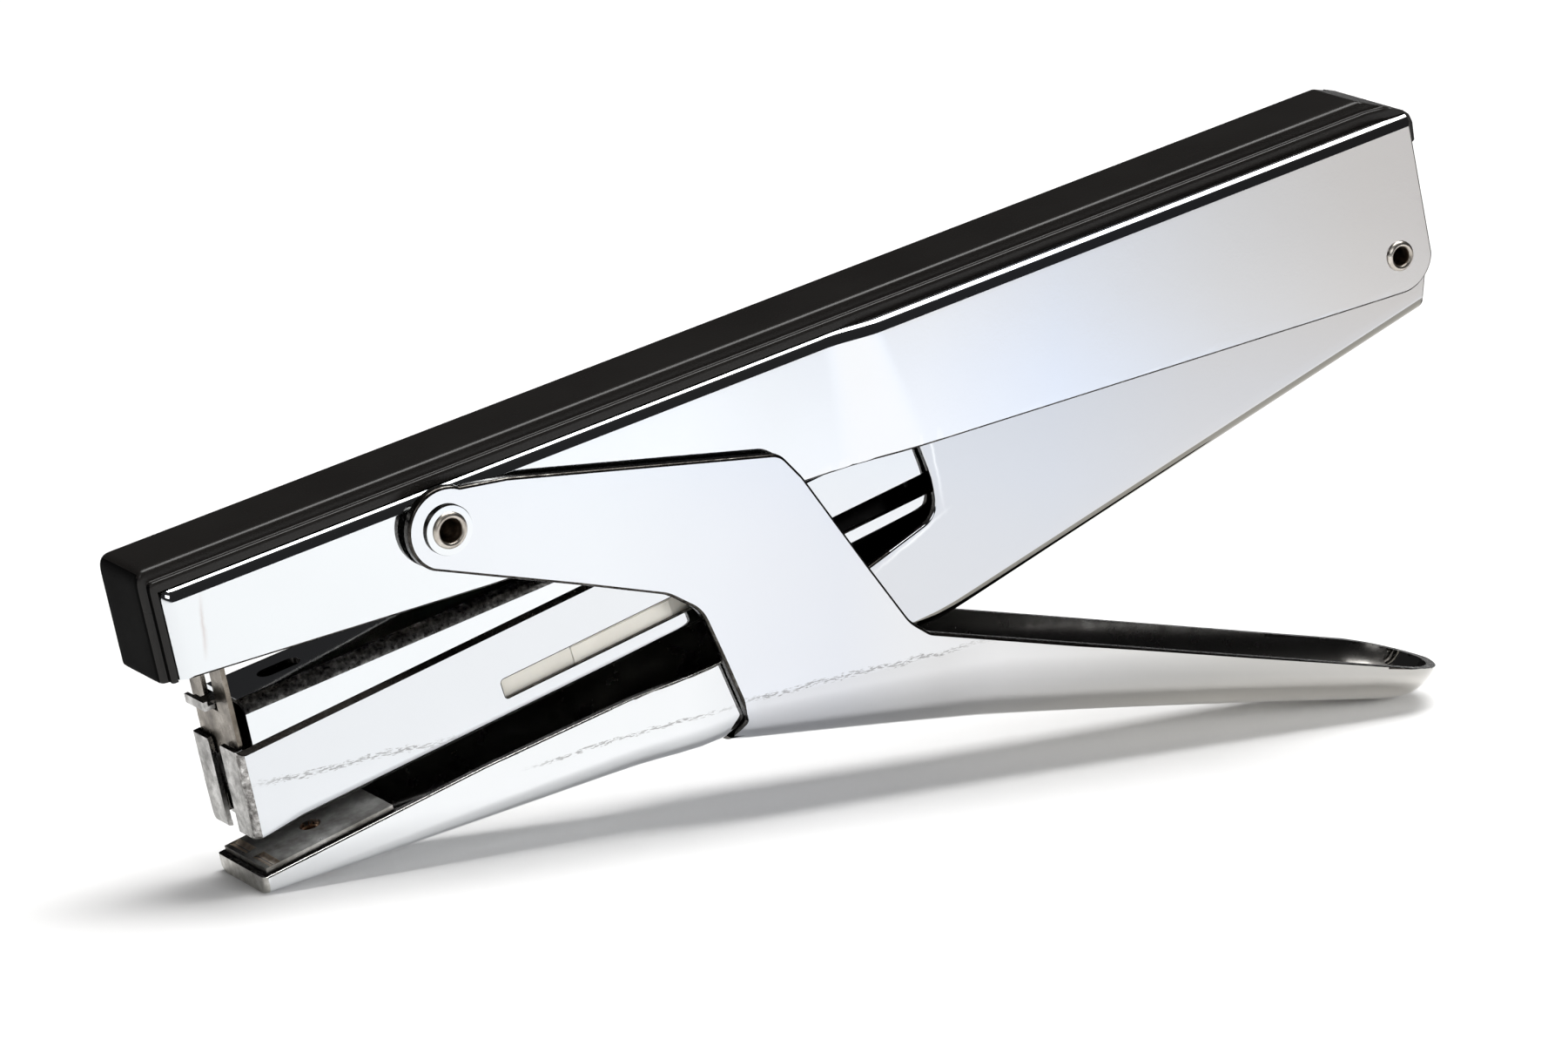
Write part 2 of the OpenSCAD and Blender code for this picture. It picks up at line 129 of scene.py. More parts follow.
m = Matrix.Identity(4)
for i, v in enumerate((rotv(right), -rotv(down), -rotv(fwd))):
    m[0][i], m[1][i], m[2][i] = v.x, v.y, v.z
m.translation = P(*pos)
cam.matrix_world = m
bpy.context.scene.camera = cam

# ------------------------------------------------------------------ record look-ups
REC = frame["record"]
BODY = {n: b for b, ns in REC["behaviour"]["bodies"].items() for n in ns}
ARM = Matrix(((ct * .001, 0, -st * .001, REAR.x), (0, .001, 0, 0), (st * .001, 0, ct * .001, REAR.z), (0, 0, 0, 1)))
ARM_INV = ARM.inverted()
MAG_A = math.radians(4.2)
MAGM = Matrix.Rotation(-MAG_A, 4, "Y")       # magazine axes -> arm axes, mm


# ------------------------------------------------------------------ node helpers
def new_mat(name):
    m = bpy.data.materials.new(name)
    m.use_nodes = True
    nt = m.node_tree
    nt.nodes.clear()
    out = nt.nodes.new("ShaderNodeOutputMaterial")
    b = nt.nodes.new("ShaderNodeBsdfPrincipled")
    nt.links.new(b.outputs[0], out.inputs[0])
    tc = nt.nodes.new("ShaderNodeTexCoord")
    return m, nt, b, tc


def noise(nt, tc, scale, detail=2.0, rough=.5, vec=None, dist=0.0):
    n = nt.nodes.new("ShaderNodeTexNoise")
    n.inputs["Scale"].default_value = scale
    n.inputs["Detail"].default_value = detail
    n.inputs["Roughness"].default_value = rough
    n.inputs["Distortion"].default_value = dist
    nt.links.new(vec if vec is not None else tc.outputs["Object"], n.inputs["Vector"])
    return n.outputs["Fac"]


def scaled(nt, tc, s, rot=None):
    mp = nt.nodes.new("ShaderNodeMapping")
    mp.inputs["Scale"].default_value = s
    if rot is not None:
        mp.inputs["Rotation"].default_value = rot
    nt.links.new(tc.outputs["Object"], mp.inputs["Vector"])
    return mp.outputs["Vector"]


def ramp(nt, fac, stops):
    r = nt.nodes.new("ShaderNodeValToRGB")
    el = r.color_ramp.elements
    while len(el) > 1:
        el.remove(el[-1])
    for i, (p, c) in enumerate(stops):
        e = el[0] if i == 0 else el.new(p)
        e.position = p
        e.color = (*c, 1) if len(c) == 3 else c
    nt.links.new(fac, r.inputs[0])
    return r.outputs[0]


def mapr(nt, fac, a, b, lo=0.0, hi=1.0):
    n = nt.nodes.new("ShaderNodeMapRange")
    n.inputs["From Min"].default_value = lo
    n.inputs["From Max"].default_value = hi
    n.inputs["To Min"].default_value = a
    n.inputs["To Max"].default_value = b
    nt.links.new(fac, n.inputs["Value"])
    return n.outputs["Result"]


def bump(nt, h, dist, strength=1.0, prev=None):
    n = nt.nodes.new("ShaderNodeBump")
    n.inputs["Strength"].default_value = strength
    n.inputs["Distance"].default_value = dist
    nt.links.new(h, n.inputs["Height"])
    if prev is not None:
        nt.links.new(prev, n.inputs["Normal"])
    return n.outputs["Normal"]


def mixc(nt, fac, c1, c2):
    n = nt.nodes.new("ShaderNodeMix")
    n.data_type = "RGBA"
    if isinstance(fac, (int, float)):
        n.inputs["Factor"].default_value = fac
    else:
        nt.links.new(fac, n.inputs["Factor"])
    for i, c in ((6, c1), (7, c2)):
        if isinstance(c, (tuple, list)):
            n.inputs[i].default_value = (*c, 1)
        else:
            nt.links.new(c, n.inputs[i])
    return n.outputs[2]


def math_n(nt, op, a, b):
    n = nt.nodes.new("ShaderNodeMath")
    n.operation = op
    for i, v in enumerate((a, b)):
        if isinstance(v, (int, float)):
            n.inputs[i].default_value = v
        else:
            nt.links.new(v, n.inputs[i])
    return n.outputs[0]


# ------------------------------------------------------------------ materials
def m_chrome(name="chrome", stops=None, lines=(), lo=-.105, hi=.105, belly_painted_light=None):
    """plated sheet; stops: painted reflection tone along the row's X, the base colour darker where the sheet mirrors
    darker surroundings; lines: marks painted along lines, (x0, z0, x1, z1, half width, below, col): ragged dark dashes
    painted as a reflection line, with a duller strip below it painted as reflection, or with col a line painted in that
    colour; the belly colour is painted light on the underside towards the rear
    """
    m, nt, b, tc = new_mat(name)
    b.inputs["Metallic"].default_value = 1
    sx = nt.nodes.new("ShaderNodeSeparateXYZ")
    nt.links.new(tc.outputs["Object"], sx.inputs[0])
    X_, Z_ = sx.outputs[0], sx.outputs[2]
    cloud = noise(nt, tc, 55, 3, .55)
    # painted reflection tone: the base colour along the row's X is set darker towards the rear, where the sheet mirrors
    # darker surroundings
    stops = stops or [(0, (.69, .715, .735)), (.2, (.70, .725, .745)), (.38, (.74, .755, .775)), (.45, (.70, .714, .73)), (.56, (.705, .722, .757)),
                      (.66, (.645, .683, .757)), (.79, (.61, .62, .645)), (.9, (.59, .583, .585)), (1, (.575, .563, .565))]
    tone = ramp(nt, mapr(nt, X_, 0, 1, lo, hi), stops)
    base = mixc(nt, mapr(nt, cloud, 0, 1, .35, .65), tone, mixc(nt, .06, tone, (.55, .56, .58)))
    if belly_painted_light:
        # painted light: the underside gets a lighter colour towards the rear, where it would otherwise mirror its own
        # shadow on the floor
        nrm = nt.nodes.new("ShaderNodeSeparateXYZ")
        nt.links.new(tc.outputs["Normal"], nrm.inputs[0])
        low = math_n(nt, "MULTIPLY", mapr(nt, nrm.outputs[2], 1, 0, -.80, -.38), mapr(nt, X_, 0, 1, .012, .062))
        base = mixc(nt, low, base, belly_painted_light)
    for (x0, z0, x1, z1, hw, below, col) in lines:
        a, c = P(x0, 0, z0), P(x1, 0, z1)
        dx, dz = c.x - a.x, c.z - a.z
        ln = math.hypot(dx, dz)
        dx, dz = dx / ln, dz / ln
        # distance across (up is positive) and along, in mm, the first one made uneven by noise
        dd = math_n(nt, "ADD", math_n(nt, "MULTIPLY", math_n(nt, "SUBTRACT", Z_, a.z), dx * 1000), math_n(nt, "MULTIPLY", math_n(nt, "SUBTRACT", X_, a.x), -dz * 1000))
        uu = math_n(nt, "ADD", math_n(nt, "MULTIPLY", math_n(nt, "SUBTRACT", X_, a.x), dx * 1000), math_n(nt, "MULTIPLY", math_n(nt, "SUBTRACT", Z_, a.z), dz * 1000))
        cmb = nt.nodes.new("ShaderNodeCombineXYZ")
        nt.links.new(math_n(nt, "MULTIPLY", uu, 1.0), cmb.inputs[0])
        nt.links.new(math_n(nt, "MULTIPLY", dd, 5.2), cmb.inputs[1])
        dash = noise(nt, tc, 1.0, 2, .6, vec=cmb.outputs[0], dist=.4)
        wob = mapr(nt, noise(nt, tc, 260, 3, .6), -.5 * hw, .5 * hw, .3, .7)
        dw = math_n(nt, "ADD", dd, wob)
        core = mapr(nt, math_n(nt, "ABSOLUTE", dw, 0), 1, 0, 0, hw)
        ends = math_n(nt, "MULTIPLY", mapr(nt, uu, 0, 1, -1, 5), mapr(nt, uu, 1, 0, max(ln * 1000 - 7, 1), ln * 1000 + 2))
        if below:
            # painted reflection: the strip under the line is darkened in colour to stand for the duller part of the
            # room it mirrors
            low = math_n(nt, "MULTIPLY", mapr(nt, dd, 0, 1, .1, -.6), ends)
            base = mixc(nt, math_n(nt, "MULTIPLY", low, below), base, (.42, .41, .40))
        if col is None:
            # painted reflection: dark where the dashes rise over a level that is lowest in the middle of the line
            t = math_n(nt, "ADD", dash, math_n(nt, "MULTIPLY", core, .17))
            mask = math_n(nt, "MULTIPLY", mapr(nt, t, 0, 1, .60, .68), math_n(nt, "MULTIPLY", ends, mapr(nt, core, 0, 1, 0, .25)))
            base = mixc(nt, math_n(nt, "MULTIPLY", mask, .62), base, (.16, .155, .15))
        else:
            # a line painted in the given colour, a painted highlight where that colour is light
            mask = math_n(nt, "MULTIPLY", math_n(nt, "POWER", core, 1.5), ends)
            base = mixc(nt, math_n(nt, "MULTIPLY", mask, .8), base, col)
    nt.links.new(base, b.inputs["Base Color"])
    haze = noise(nt, tc, 160, 4, .6)
    scr = noise(nt, tc, 1, 2, .5, vec=scaled(nt, tc, (500, 9000, 9000), (0, TILT, 0)))
    r = mapr(nt, haze, .035, .085, .3, .8)
    r = math_n(nt, "ADD", r, mapr(nt, scr, 0, .015, .55, .8))
    nt.links.new(r, b.inputs["Roughness"])
    # orange peel of the plating, stronger in patches, and the slow waves of rolled sheet
    patch = mapr(nt, noise(nt, tc, 120, 2, .5), .25, 1, .45, .7)
    peel = math_n(nt, "MULTIPLY", noise(nt, tc, 1700, 2.5, .55), patch)
    wave = noise(nt, tc, 90, 1, .4)
    n = bump(nt, peel, .0000042)
    n = bump(nt, wave, .000016, prev=n)
    nt.links.new(n, b.inputs["Normal"])
    return m


def m_bend_painted_shade():
    # the cover's bends: stretched plating, finely pitted, its dark colour painted shade
    m, nt, b, tc = new_mat("chrome_bend_painted_shade")
    b.inputs["Metallic"].default_value = 1
    s = noise(nt, tc, 1300, 3, .65)
    l = noise(nt, tc, 240, 3, .6)
    f = math_n(nt, "ADD", math_n(nt, "MULTIPLY", s, .6), math_n(nt, "MULTIPLY", l, .4))
    nt.links.new(ramp(nt, f, [(.34, (.06, .056, .052)), (.46, (.19, .183, .175)), (.56, (.42, .41, .40)), (.66, (.82, .81, .80))]), b.inputs["Base Color"])
    nt.links.new(mapr(nt, s, .24, .44, .3, .8), b.inputs["Roughness"])
    nt.links.new(bump(nt, s, .00004), b.inputs["Normal"])
    return m


def m_inner_painted_shade():
    # thin dull plating inside the channels, its dark colour painted shade
    m, nt, b, tc = new_mat("chrome_inside_painted_shade")
    b.inputs["Metallic"].default_value = 1
    s = noise(nt, tc, 210, 4, .6)
    nt.links.new(ramp(nt, s, [(.3, (.10, .095, .09)), (.55, (.19, .185, .175)), (.8, (.30, .29, .28))]), b.inputs["Base Color"])
    nt.links.new(mapr(nt, s, .30, .18, .3, .8), b.inputs["Roughness"])
    nt.links.new(bump(nt, noise(nt, tc, 1500, 3, .6), .000010), b.inputs["Normal"])
    return m


def m_cut_edge_painted_shade():
    # sheared edge of the sheet under the plating: a little rough, streaked across the thickness; its very dark colour
    # is partly painted shade, standing for the shadow gap along the sheets' edges
    m, nt, b, tc = new_mat("chrome_cut_edge_painted_shade")
    b.inputs["Metallic"].default_value = 1
    s = noise(nt, tc, 700, 4, .6)
    nt.links.new(ramp(nt, s, [(.32, (.02, .018, .016)), (.56, (.055, .05, .045)), (.8, (.22, .215, .20))]), b.inputs["Base Color"])
    nt.links.new(mapr(nt, s, .32, .14, .3, .8), b.inputs["Roughness"])
    nt.links.new(bump(nt, noise(nt, tc, 2200, 3, .6), .00002), b.inputs["Normal"])
    return m


def m_plastic(name="black_plastic", spec=.24, r0=.24, r1=.32, c0=(.0078, .0070, .0064), c1=(.0108, .0098, .0090)):
    m, nt, b, tc = new_mat(name)
    g = noise(nt, tc, 2600, 2, .5)
    l = noise(nt, tc, 60, 3, .5)
    nt.links.new(mixc(nt, l, c0, c1), b.inputs["Base Color"])
    nt.links.new(mapr(nt, l, r0, r1, .3, .7), b.inputs["Roughness"])
    b.inputs["Specular IOR Level"].default_value = spec
    nt.links.new(bump(nt, g, .000012), b.inputs["Normal"])
    return m


def m_nickel(name, dark, mid, light, r0=.22, r1=.38, sc=320):
    m, nt, b, tc = new_mat(name)
    b.inputs["Metallic"].default_value = 1
    s = noise(nt, tc, sc, 5, .62)
    nt.links.new(ramp(nt, s, [(.28, dark), (.5, mid), (.74, light)]), b.inputs["Base Color"])
    br = noise(nt, tc, 1, 2, .5, vec=scaled(nt, tc, (9000, 9000, 500), (0, TILT, 0)))
    nt.links.new(math_n(nt, "ADD", mapr(nt, s, r1, r0, .3, .75), mapr(nt, br, 0, .06, .4, .8)), b.inputs["Roughness"])
    n = bump(nt, noise(nt, tc, 1800, 3, .6), .000010)
    n = bump(nt, br, .000004, prev=n)
    nt.links.new(n, b.inputs["Normal"])
    return m


def m_copper():
    m, nt, b, tc = new_mat("copper_rivet")
    b.inputs["Metallic"].default_value = 1
    s = noise(nt, tc, 600, 4, .6)
    nt.links.new(ramp(nt, s, [(.3, (.22, .12, .07)), (.55, (.55, .31, .18)), (.8, (.78, .55, .38))]), b.inputs["Base Color"])
    nt.links.new(mapr(nt, s, .36, .2, .3, .8), b.inputs["Roughness"])
    nt.links.new(bump(nt, s, .00003), b.inputs["Normal"])
    return m


def m_nylon():
    m, nt, b, tc = new_mat("cream_nylon")
    s = noise(nt, tc, 140, 4, .6)
    nt.links.new(mixc(nt, s, (.56, .54, .485), (.70, .68, .62)), b.inputs["Base Color"])
    nt.links.new(mapr(nt, s, .34, .48, .3, .7), b.inputs["Roughness"])
    b.inputs["Subsurface Weight"].default_value = .15
    b.inputs["Subsurface Radius"].default_value = (.002, .0015, .001)
    b.inputs["Subsurface Scale"].default_value = .5
    nt.links.new(bump(nt, noise(nt, tc, 1600, 2, .5), .00001), b.inputs["Normal"])
    return m


def m_spring():
    m, nt, b, tc = new_mat("spring_steel")
    b.inputs["Metallic"].default_value = 1
    s = noise(nt, tc, 260, 5, .6)
    nt.links.new(ramp(nt, s, [(.3, (.20, .205, .22)), (.6, (.34, .35, .37)), (.8, (.46, .46, .48))]), b.inputs["Base Color"])
    nt.links.new(mapr(nt, s, .22, .36, .3, .8), b.inputs["Roughness"])
    nt.links.new(bump(nt, noise(nt, tc, 2400, 3, .5), .000008), b.inputs["Normal"])
    return m


def m_wire():
    m, nt, b, tc = new_mat("staple_wire")
    b.inputs["Metallic"].default_value = 1
    s = noise(nt, tc, 900, 4, .6)
    nt.links.new(ramp(nt, s, [(.3, (.45, .455, .47)), (.55, (.66, .67, .69)), (.8, (.84, .84, .85))]), b.inputs["Base Color"])
    nt.links.new(mapr(nt, s, .18, .34, .3, .8), b.inputs["Roughness"])
    nt.links.new(bump(nt, s, .000012), b.inputs["Normal"])
    return m


M = {
    # the default stops paint the reflection tone; chrome_arm adds a brown line painted along the small pressed mark
    "chrome_sheet": m_chrome(),
    "chrome_arm": m_chrome("chrome_arm", None, [(-191.6, 9.4, -190.9, 16.4, .55, 0, (.40, .30, .27))]),
    # painted reflection tone darkening towards the handle's rear, a painted dark reflection line with a duller painted
    # strip below it, and painted light on the underside
    "chrome_lever": m_chrome("chrome_lever", [(0, (.67, .69, .72)), (.314, (.675, .70, .735)), (.438, (.625, .645, .69)), (.492, (.60, .62, .665)), (.548, (.62, .63, .65)),
                                              (.62, (.595, .595, .60)), (.79, (.50, .495, .48)), (.95, (.47, .46, .44)), (1, (.45, .44, .42))],
                             [(-119, -24.8, -78, -30.7, .55, .30, None)], belly_painted_light=(.74, .72, .68)),
    # painted reflection tone, a painted dark reflection line, and two painted highlights along the notch's rear and
    # lower edge
    "chrome_anvil": m_chrome("chrome_anvil", [(0, (.70, .715, .73)), (.38, (.70, .715, .73)), (.48, (.56, .575, .605)), (.66, (.535, .55, .585)), (.78, (.545, .54, .545)), (1, (.55, .535, .53))],
                             [(-150, -23.5, -117, -26.0, .42, 0, None), (-79.8, 6.5, -79.7, -9.6, .42, 0, (.82, .83, .84)), (-79.2, -10.6, -93, -15.6, .42, 0, (.80, .81, .82))]),
    # painted reflection tone and a painted dark reflection line
    "chrome_mag": m_chrome("chrome_mag", [(0, (.635, .655, .68)), (1, (.655, .67, .695))], [(-189.5, -10.7, -158, -15.6, .6, 0, None)]),
    # painted shade: a dark beige copy of the chrome for the anvil's lower bend, standing for the shadowed floor it
    # mirrors
    "under": m_chrome("chrome_under_painted_shade", [(0, (.235, .225, .20)), (1, (.215, .205, .18))]),
    "bend": m_bend_painted_shade(),
    "bore": None,
    "cut": m_cut_edge_painted_shade(),
    "inner": m_inner_painted_shade(),
    "black_plastic": m_plastic(),
    "nickel_steel": m_nickel("nickel_steel", (.30, .27, .23), (.50, .46, .41), (.70, .67, .62)),
    "anvil_nickel": m_nickel("anvil_nickel", (.14, .13, .115), (.30, .29, .27), (.52, .51, .49), .24, .42, 260),
    "cream_nylon": m_nylon(),
    "spring_steel": m_spring(),
    "copper_rivet": m_copper(),
    "staple_wire": m_wire(),
}
# the front face's plastic: grained and less glossy, its colour darker than the crown's as painted shade
M["plastic_front"] = m_plastic("black_plastic_grained_painted_shade", .06, .42, .55, (.0022, .0022, .0022), (.0040, .0040, .0040))
for n_ in M["plastic_front"].node_tree.nodes:
    if n_.type == "BSDF_PRINCIPLED":
        n_.inputs["IOR"].default_value = 1.15
M["bore"] = m_nickel("rivet_bore", (.10, .065, .04), (.30, .22, .16), (.60, .50, .42), .3, .45, 420)
# painted highlight: a bright copy of the nickel for rims and edges
M["edge_nickel_painted_highlight"] = m_nickel("edge_nickel_painted_highlight", (.42, .41, .39), (.66, .65, .63), (.84, .83, .82), .14, .28, 420)
M["driver_nickel"] = m_nickel("driver_nickel", (.06, .05, .04), (.17, .15, .125), (.36, .33, .29), .2, .34, 260)
M["front_nickel"] = m_nickel("front_nickel", (.34, .33, .30), (.52, .505, .47), (.86, .85, .82), .13, .28, 420)
M["clinch_nickel"] = m_nickel("clinch_nickel", (.36, .28, .21), (.66, .55, .44), (.95, .88, .78), .34, .5, 520)
M["flange_nickel"] = m_nickel("flange_nickel", (.12, .115, .11), (.30, .295, .285), (.62, .61, .60), .16, .34, 420)


# ------------------------------------------------------------------ mesh helpers (arm axes, mm)
def obj_from(name, verts, faces):
    me = bpy.data.meshes.new(name)
    me.from_pydata([tuple(map(float, v)) for v in verts], [], faces)
    me.update()
    bm = bmesh.new()
    bm.from_mesh(me)
    bmesh.ops.remove_doubles(bm, verts=bm.verts, dist=1e-4)
    bmesh.ops.dissolve_degenerate(bm, edges=bm.edges, dist=1e-5)
    bmesh.ops.recalc_face_normals(bm, faces=bm.faces)
    bm.to_mesh(me)
    bm.free()
    return link(bpy.data.objects.new(name, me))


def loft(name, secs, caps=True, closed=False):
    """closed loops of points, one after another, as a solid"""
    nu, nv = len(secs), len(secs[0])
    verts = [p for s in secs for p in s]
    faces = []
    for i in range(nu if closed else nu - 1):
        k = (i + 1) % nu
        for j in range(nv):
            l = (j + 1) % nv
            faces.append((i * nv + j, k * nv + j, k * nv + l, i * nv + l))
    if caps and not closed:
        faces.append(tuple(range(nv)))
        faces.append(tuple((nu - 1) * nv + j for j in reversed(range(nv))))
    return obj_from(name, verts, faces)


def prism(name, pts, y0, y1):
    return loft(name, [[(x, y0, z) for x, z in pts], [(x, y1, z) for x, z in pts]])


def fillet(pts, rad, step=9):
    """closed polygon with each corner rounded; rad is one radius or one for each point"""
    n = len(pts)
    rad = [rad] * n if isinstance(rad, (int, float)) else rad
    out = []
    for i in range(n):
        p = np.array(pts[i], float)
        a = np.array(pts[i - 1], float) - p
        b = np.array(pts[(i + 1) % n], float) - p
        la, lb = np.linalg.norm(a), np.linalg.norm(b)
        a, b = a / la, b / lb
        cosang = float(np.clip(a @ b, -1, 1))
        ang = math.acos(cosang)
        r = rad[i]
        if r <= 0 or math.pi - ang < .02:
            out.append(tuple(p))
            continue
        t = r / math.tan(ang / 2)
        lim = .48 * min(la, lb)
        if t > lim:
            t = lim
            r = t * math.tan(ang / 2)
        bis = (a + b) / np.linalg.norm(a + b)
        c = p + bis * (r / math.sin(ang / 2))
        s, e = p + a * t, p + b * t
        a0 = math.atan2(*(s - c)[::-1])
        a1 = math.atan2(*(e - c)[::-1])
        dlt = (a1 - a0 + math.pi) % (2 * math.pi) - math.pi
        k = max(2, int(abs(math.degrees(dlt)) / step) + 1)
        for q in range(k + 1):
            w = a0 + dlt * q / k
            out.append((c[0] + r * math.cos(w), c[1] + r * math.sin(w)))
    res = []
    for q in out:
        if not res or math.hypot(q[0] - res[-1][0], q[1] - res[-1][1]) > 1e-3:
            res.append(q)
    if math.hypot(res[0][0] - res[-1][0], res[0][1] - res[-1][1]) < 1e-3:
        res.pop()
    return res


def divide(pts, step):
    out = []
    for i, a in enumerate(pts):
        b = pts[(i + 1) % len(pts)]
        k = max(1, int(math.ceil(math.hypot(b[0] - a[0], b[1] - a[1]) / step)))
        out += [(a[0] + (b[0] - a[0]) * j / k, a[1] + (b[1] - a[1]) * j / k) for j in range(k)]
    return out


def inset(pts, w):
    """closed polygon moved inwards by w"""
    q = np.array(pts, float)
    nx = np.roll(q, -1, 0)
    area = (q[:, 0] * nx[:, 1] - nx[:, 0] * q[:, 1]).sum()
    e = nx - q
    e /= np.linalg.norm(e, axis=1)[:, None]
    nrm = np.stack([-e[:, 1], e[:, 0]], 1) * (1 if area > 0 else -1)
    m_ = nrm + np.roll(nrm, 1, 0)
    m_ /= np.maximum((m_ ** 2).sum(1), .5)[:, None] / 2
    return q + m_ * w


def edge_cutter(poly, hw, w, n=4, step=4.0):
    """solid with the X-Z outline of a pressed sheet whose outer corners, at y = +-hw(x, z), are rounded by w"""
    base = divide(poly, step)
    lev = [(2.0, w)] + [(.012 if k == 0 else -w * (1 - math.cos(k / n * math.pi / 2)), w * (1 - math.sin(k / n * math.pi / 2))) for k in range(n + 1)]
    H = [hw(x, z) for x, z in base]
    secs = []
    for dy, ins in lev:
        q = inset(base, ins) if ins > 1e-9 else np.array(base)
        secs.append([(q[i][0], -(H[i] + dy), q[i][1]) for i in range(len(base))])
    for dy, ins in reversed(lev):
        q = inset(base, ins) if ins > 1e-9 else np.array(base)
        secs.append([(q[i][0], H[i] + dy, q[i][1]) for i in range(len(base))])
    return loft("t", secs)


def hole_cutter(poly, hw, w, n=3, step=4.0):
    """the same for a hole: the outline is wider by w where it meets the outer faces"""
    base = divide(poly, step)
    lev = [(2.0, w)] + [(.012 if k == 0 else -w * (1 - math.cos(k / n * math.pi / 2)), w * (1 - math.sin(k / n * math.pi / 2))) for k in range(n + 1)]
    secs = []
    for sg, ls in ((-1, lev), (1, list(reversed(lev)))):
        for dy, ins in ls:
            q = inset(base, -ins) if ins > 1e-9 else np.array(base)
            secs.append([(q[i][0], sg * (hw + dy), q[i][1]) for i in range(len(base))])
    return loft("t", secs)


def lathe_y(name, prof, x, z, n=64, sgn=1):
    """closed (r, y) profile turned about the Y axis through (x, z)"""
    secs = []
    for k in range(n):
        a = 2 * math.pi * k / n
        secs.append([(x + r * math.cos(a), sgn * y, z + r * math.sin(a)) for r, y in prof])
    return loft(name, secs, closed=True)


def cyl_y(name, x, z, r, y0, y1, n=48):
    return prism(name, [(x + r * math.cos(2 * math.pi * k / n), z + r * math.sin(2 * math.pi * k / n)) for k in range(n)], y0, y1)


def box(name, x0, x1, y0, y1, z0, z1):
    return prism(name, [(x0, z0), (x1, z0), (x1, z1), (x0, z1)], y0, y1)


def cyl_axis(name, p0, p1, prof, n=40):
    """closed (r, t) profile turned about the line p0-p1; t is mm along it"""
    p0, p1 = Vector(p0), Vector(p1)
    ax = (p1 - p0).normalized()
    u = ax.orthogonal().normalized()
    v = ax.cross(u)
    secs = []
    for k in range(n):
        a = 2 * math.pi * k / n
        secs.append([tuple(p0 + ax * t + (u * math.cos(a) + v * math.sin(a)) * r) for r, t in prof])
    return loft(name, secs, closed=True)


def bake(o):
    dg = bpy.context.evaluated_depsgraph_get()
    dg.update()
    me = bpy.data.meshes.new_from_object(o.evaluated_get(dg))
    o.modifiers.clear()
    old = o.data
    o.data = me
    bpy.data.meshes.remove(old)
    return o


def boolean(a, b, op, keep=False):
    m = a.modifiers.new("b", "BOOLEAN")
    m.operation = op
    m.solver = "EXACT"
    m.object = b
    bpy.context.view_layer.update()
    bake(a)
    if not keep:
        bpy.data.objects.remove(b, do_unlink=True)
    return a


def clean(o, weld=2e-3):
    bm = bmesh.new()
    bm.from_mesh(o.data)
    bmesh.ops.remove_doubles(bm, verts=bm.verts, dist=weld)
    bmesh.ops.dissolve_degenerate(bm, edges=bm.edges, dist=1e-4)
    bm.to_mesh(o.data)
    bm.free()
    return o


def bevel(o, w, seg=2, ang=32, harden=False):
    m = o.modifiers.new("bv", "BEVEL")
    m.width = w
    m.segments = seg
    m.limit_method = "ANGLE"
    m.angle_limit = math.radians(ang)
    m.use_clamp_overlap = True
    m.harden_normals = harden
    m.miter_outer = "MITER_SHARP"
    return bake(o)


def shade(o, ang=32):
    me = o.data
    me.polygons.foreach_set("use_smooth", [True] * len(me.polygons))
    o["shade_angle"] = ang
    me.update()
    return o


def weighted_normals(o, ang=35):
    """corner normals led by the larger faces, so that flat sheet stays flat up to its bends"""
    me = o.data
    nf, nl, nv = len(me.polygons), len(me.loops), len(me.vertices)
    N = np.empty(nf * 3)
    me.polygons.foreach_get("normal", N)
    N = N.reshape(-1, 3)
    A = np.empty(nf)
    me.polygons.foreach_get("area", A)
    tot = np.empty(nf, np.int64)
    me.polygons.foreach_get("loop_total", tot)
    lf = np.repeat(np.arange(nf), tot)
    lv = np.empty(nl, np.int64)
    me.loops.foreach_get("vertex_index", lv)
    order = np.argsort(lv, kind="stable")
    cuts = np.searchsorted(lv[order], np.arange(nv + 1))
    out = np.zeros((nl, 3))
    c = math.cos(math.radians(ang))
    A = np.maximum(A, A.max() * 1e-9)
    for v in range(nv):
        L = order[cuts[v]:cuts[v + 1]]
        if len(L) == 0:
            continue
        F = lf[L]
        n = N[F]
        W = (n @ n.T > c) * A[F]
        out[L] = W @ n
    ln = np.linalg.norm(out, axis=1)
    bad = ln < 1e-20
    out[bad] = N[lf[bad]]
    ln[bad] = 1
    out /= ln[:, None]
    me.normals_split_custom_set(out.tolist())


def to_row(o):
    o.data.transform(ARM)
    o.data.update()
    return o


def done(o, nodes, slotname, mats=None, ride=None, replace=True, bend=None):
    """materials (slotname picks the default one), body, and which CAD nodes the piece stands for"""
    to_row(o)
    idx = [p.material_index for p in o.data.polygons]
    o.data.materials.clear()
    for mm in (mats or [M[slotname]]):
        o.data.materials.append(mm)
    if mats and len(mats) > 1:
        o.data.polygons.foreach_set("material_index", idx)
    else:
        o.data.polygons.foreach_set("material_index", [0] * len(idx))
    o.data.update()
    weighted_normals(o, o.get("shade_angle", 35))
    if bend:
        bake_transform(o, bend[0], bend[1], start=tuple(bend[2]), end=tuple(bend[3]))
    else:
        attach(o, ride or BODY[nodes[0]])
    if replace:
        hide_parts(*nodes)
    return o


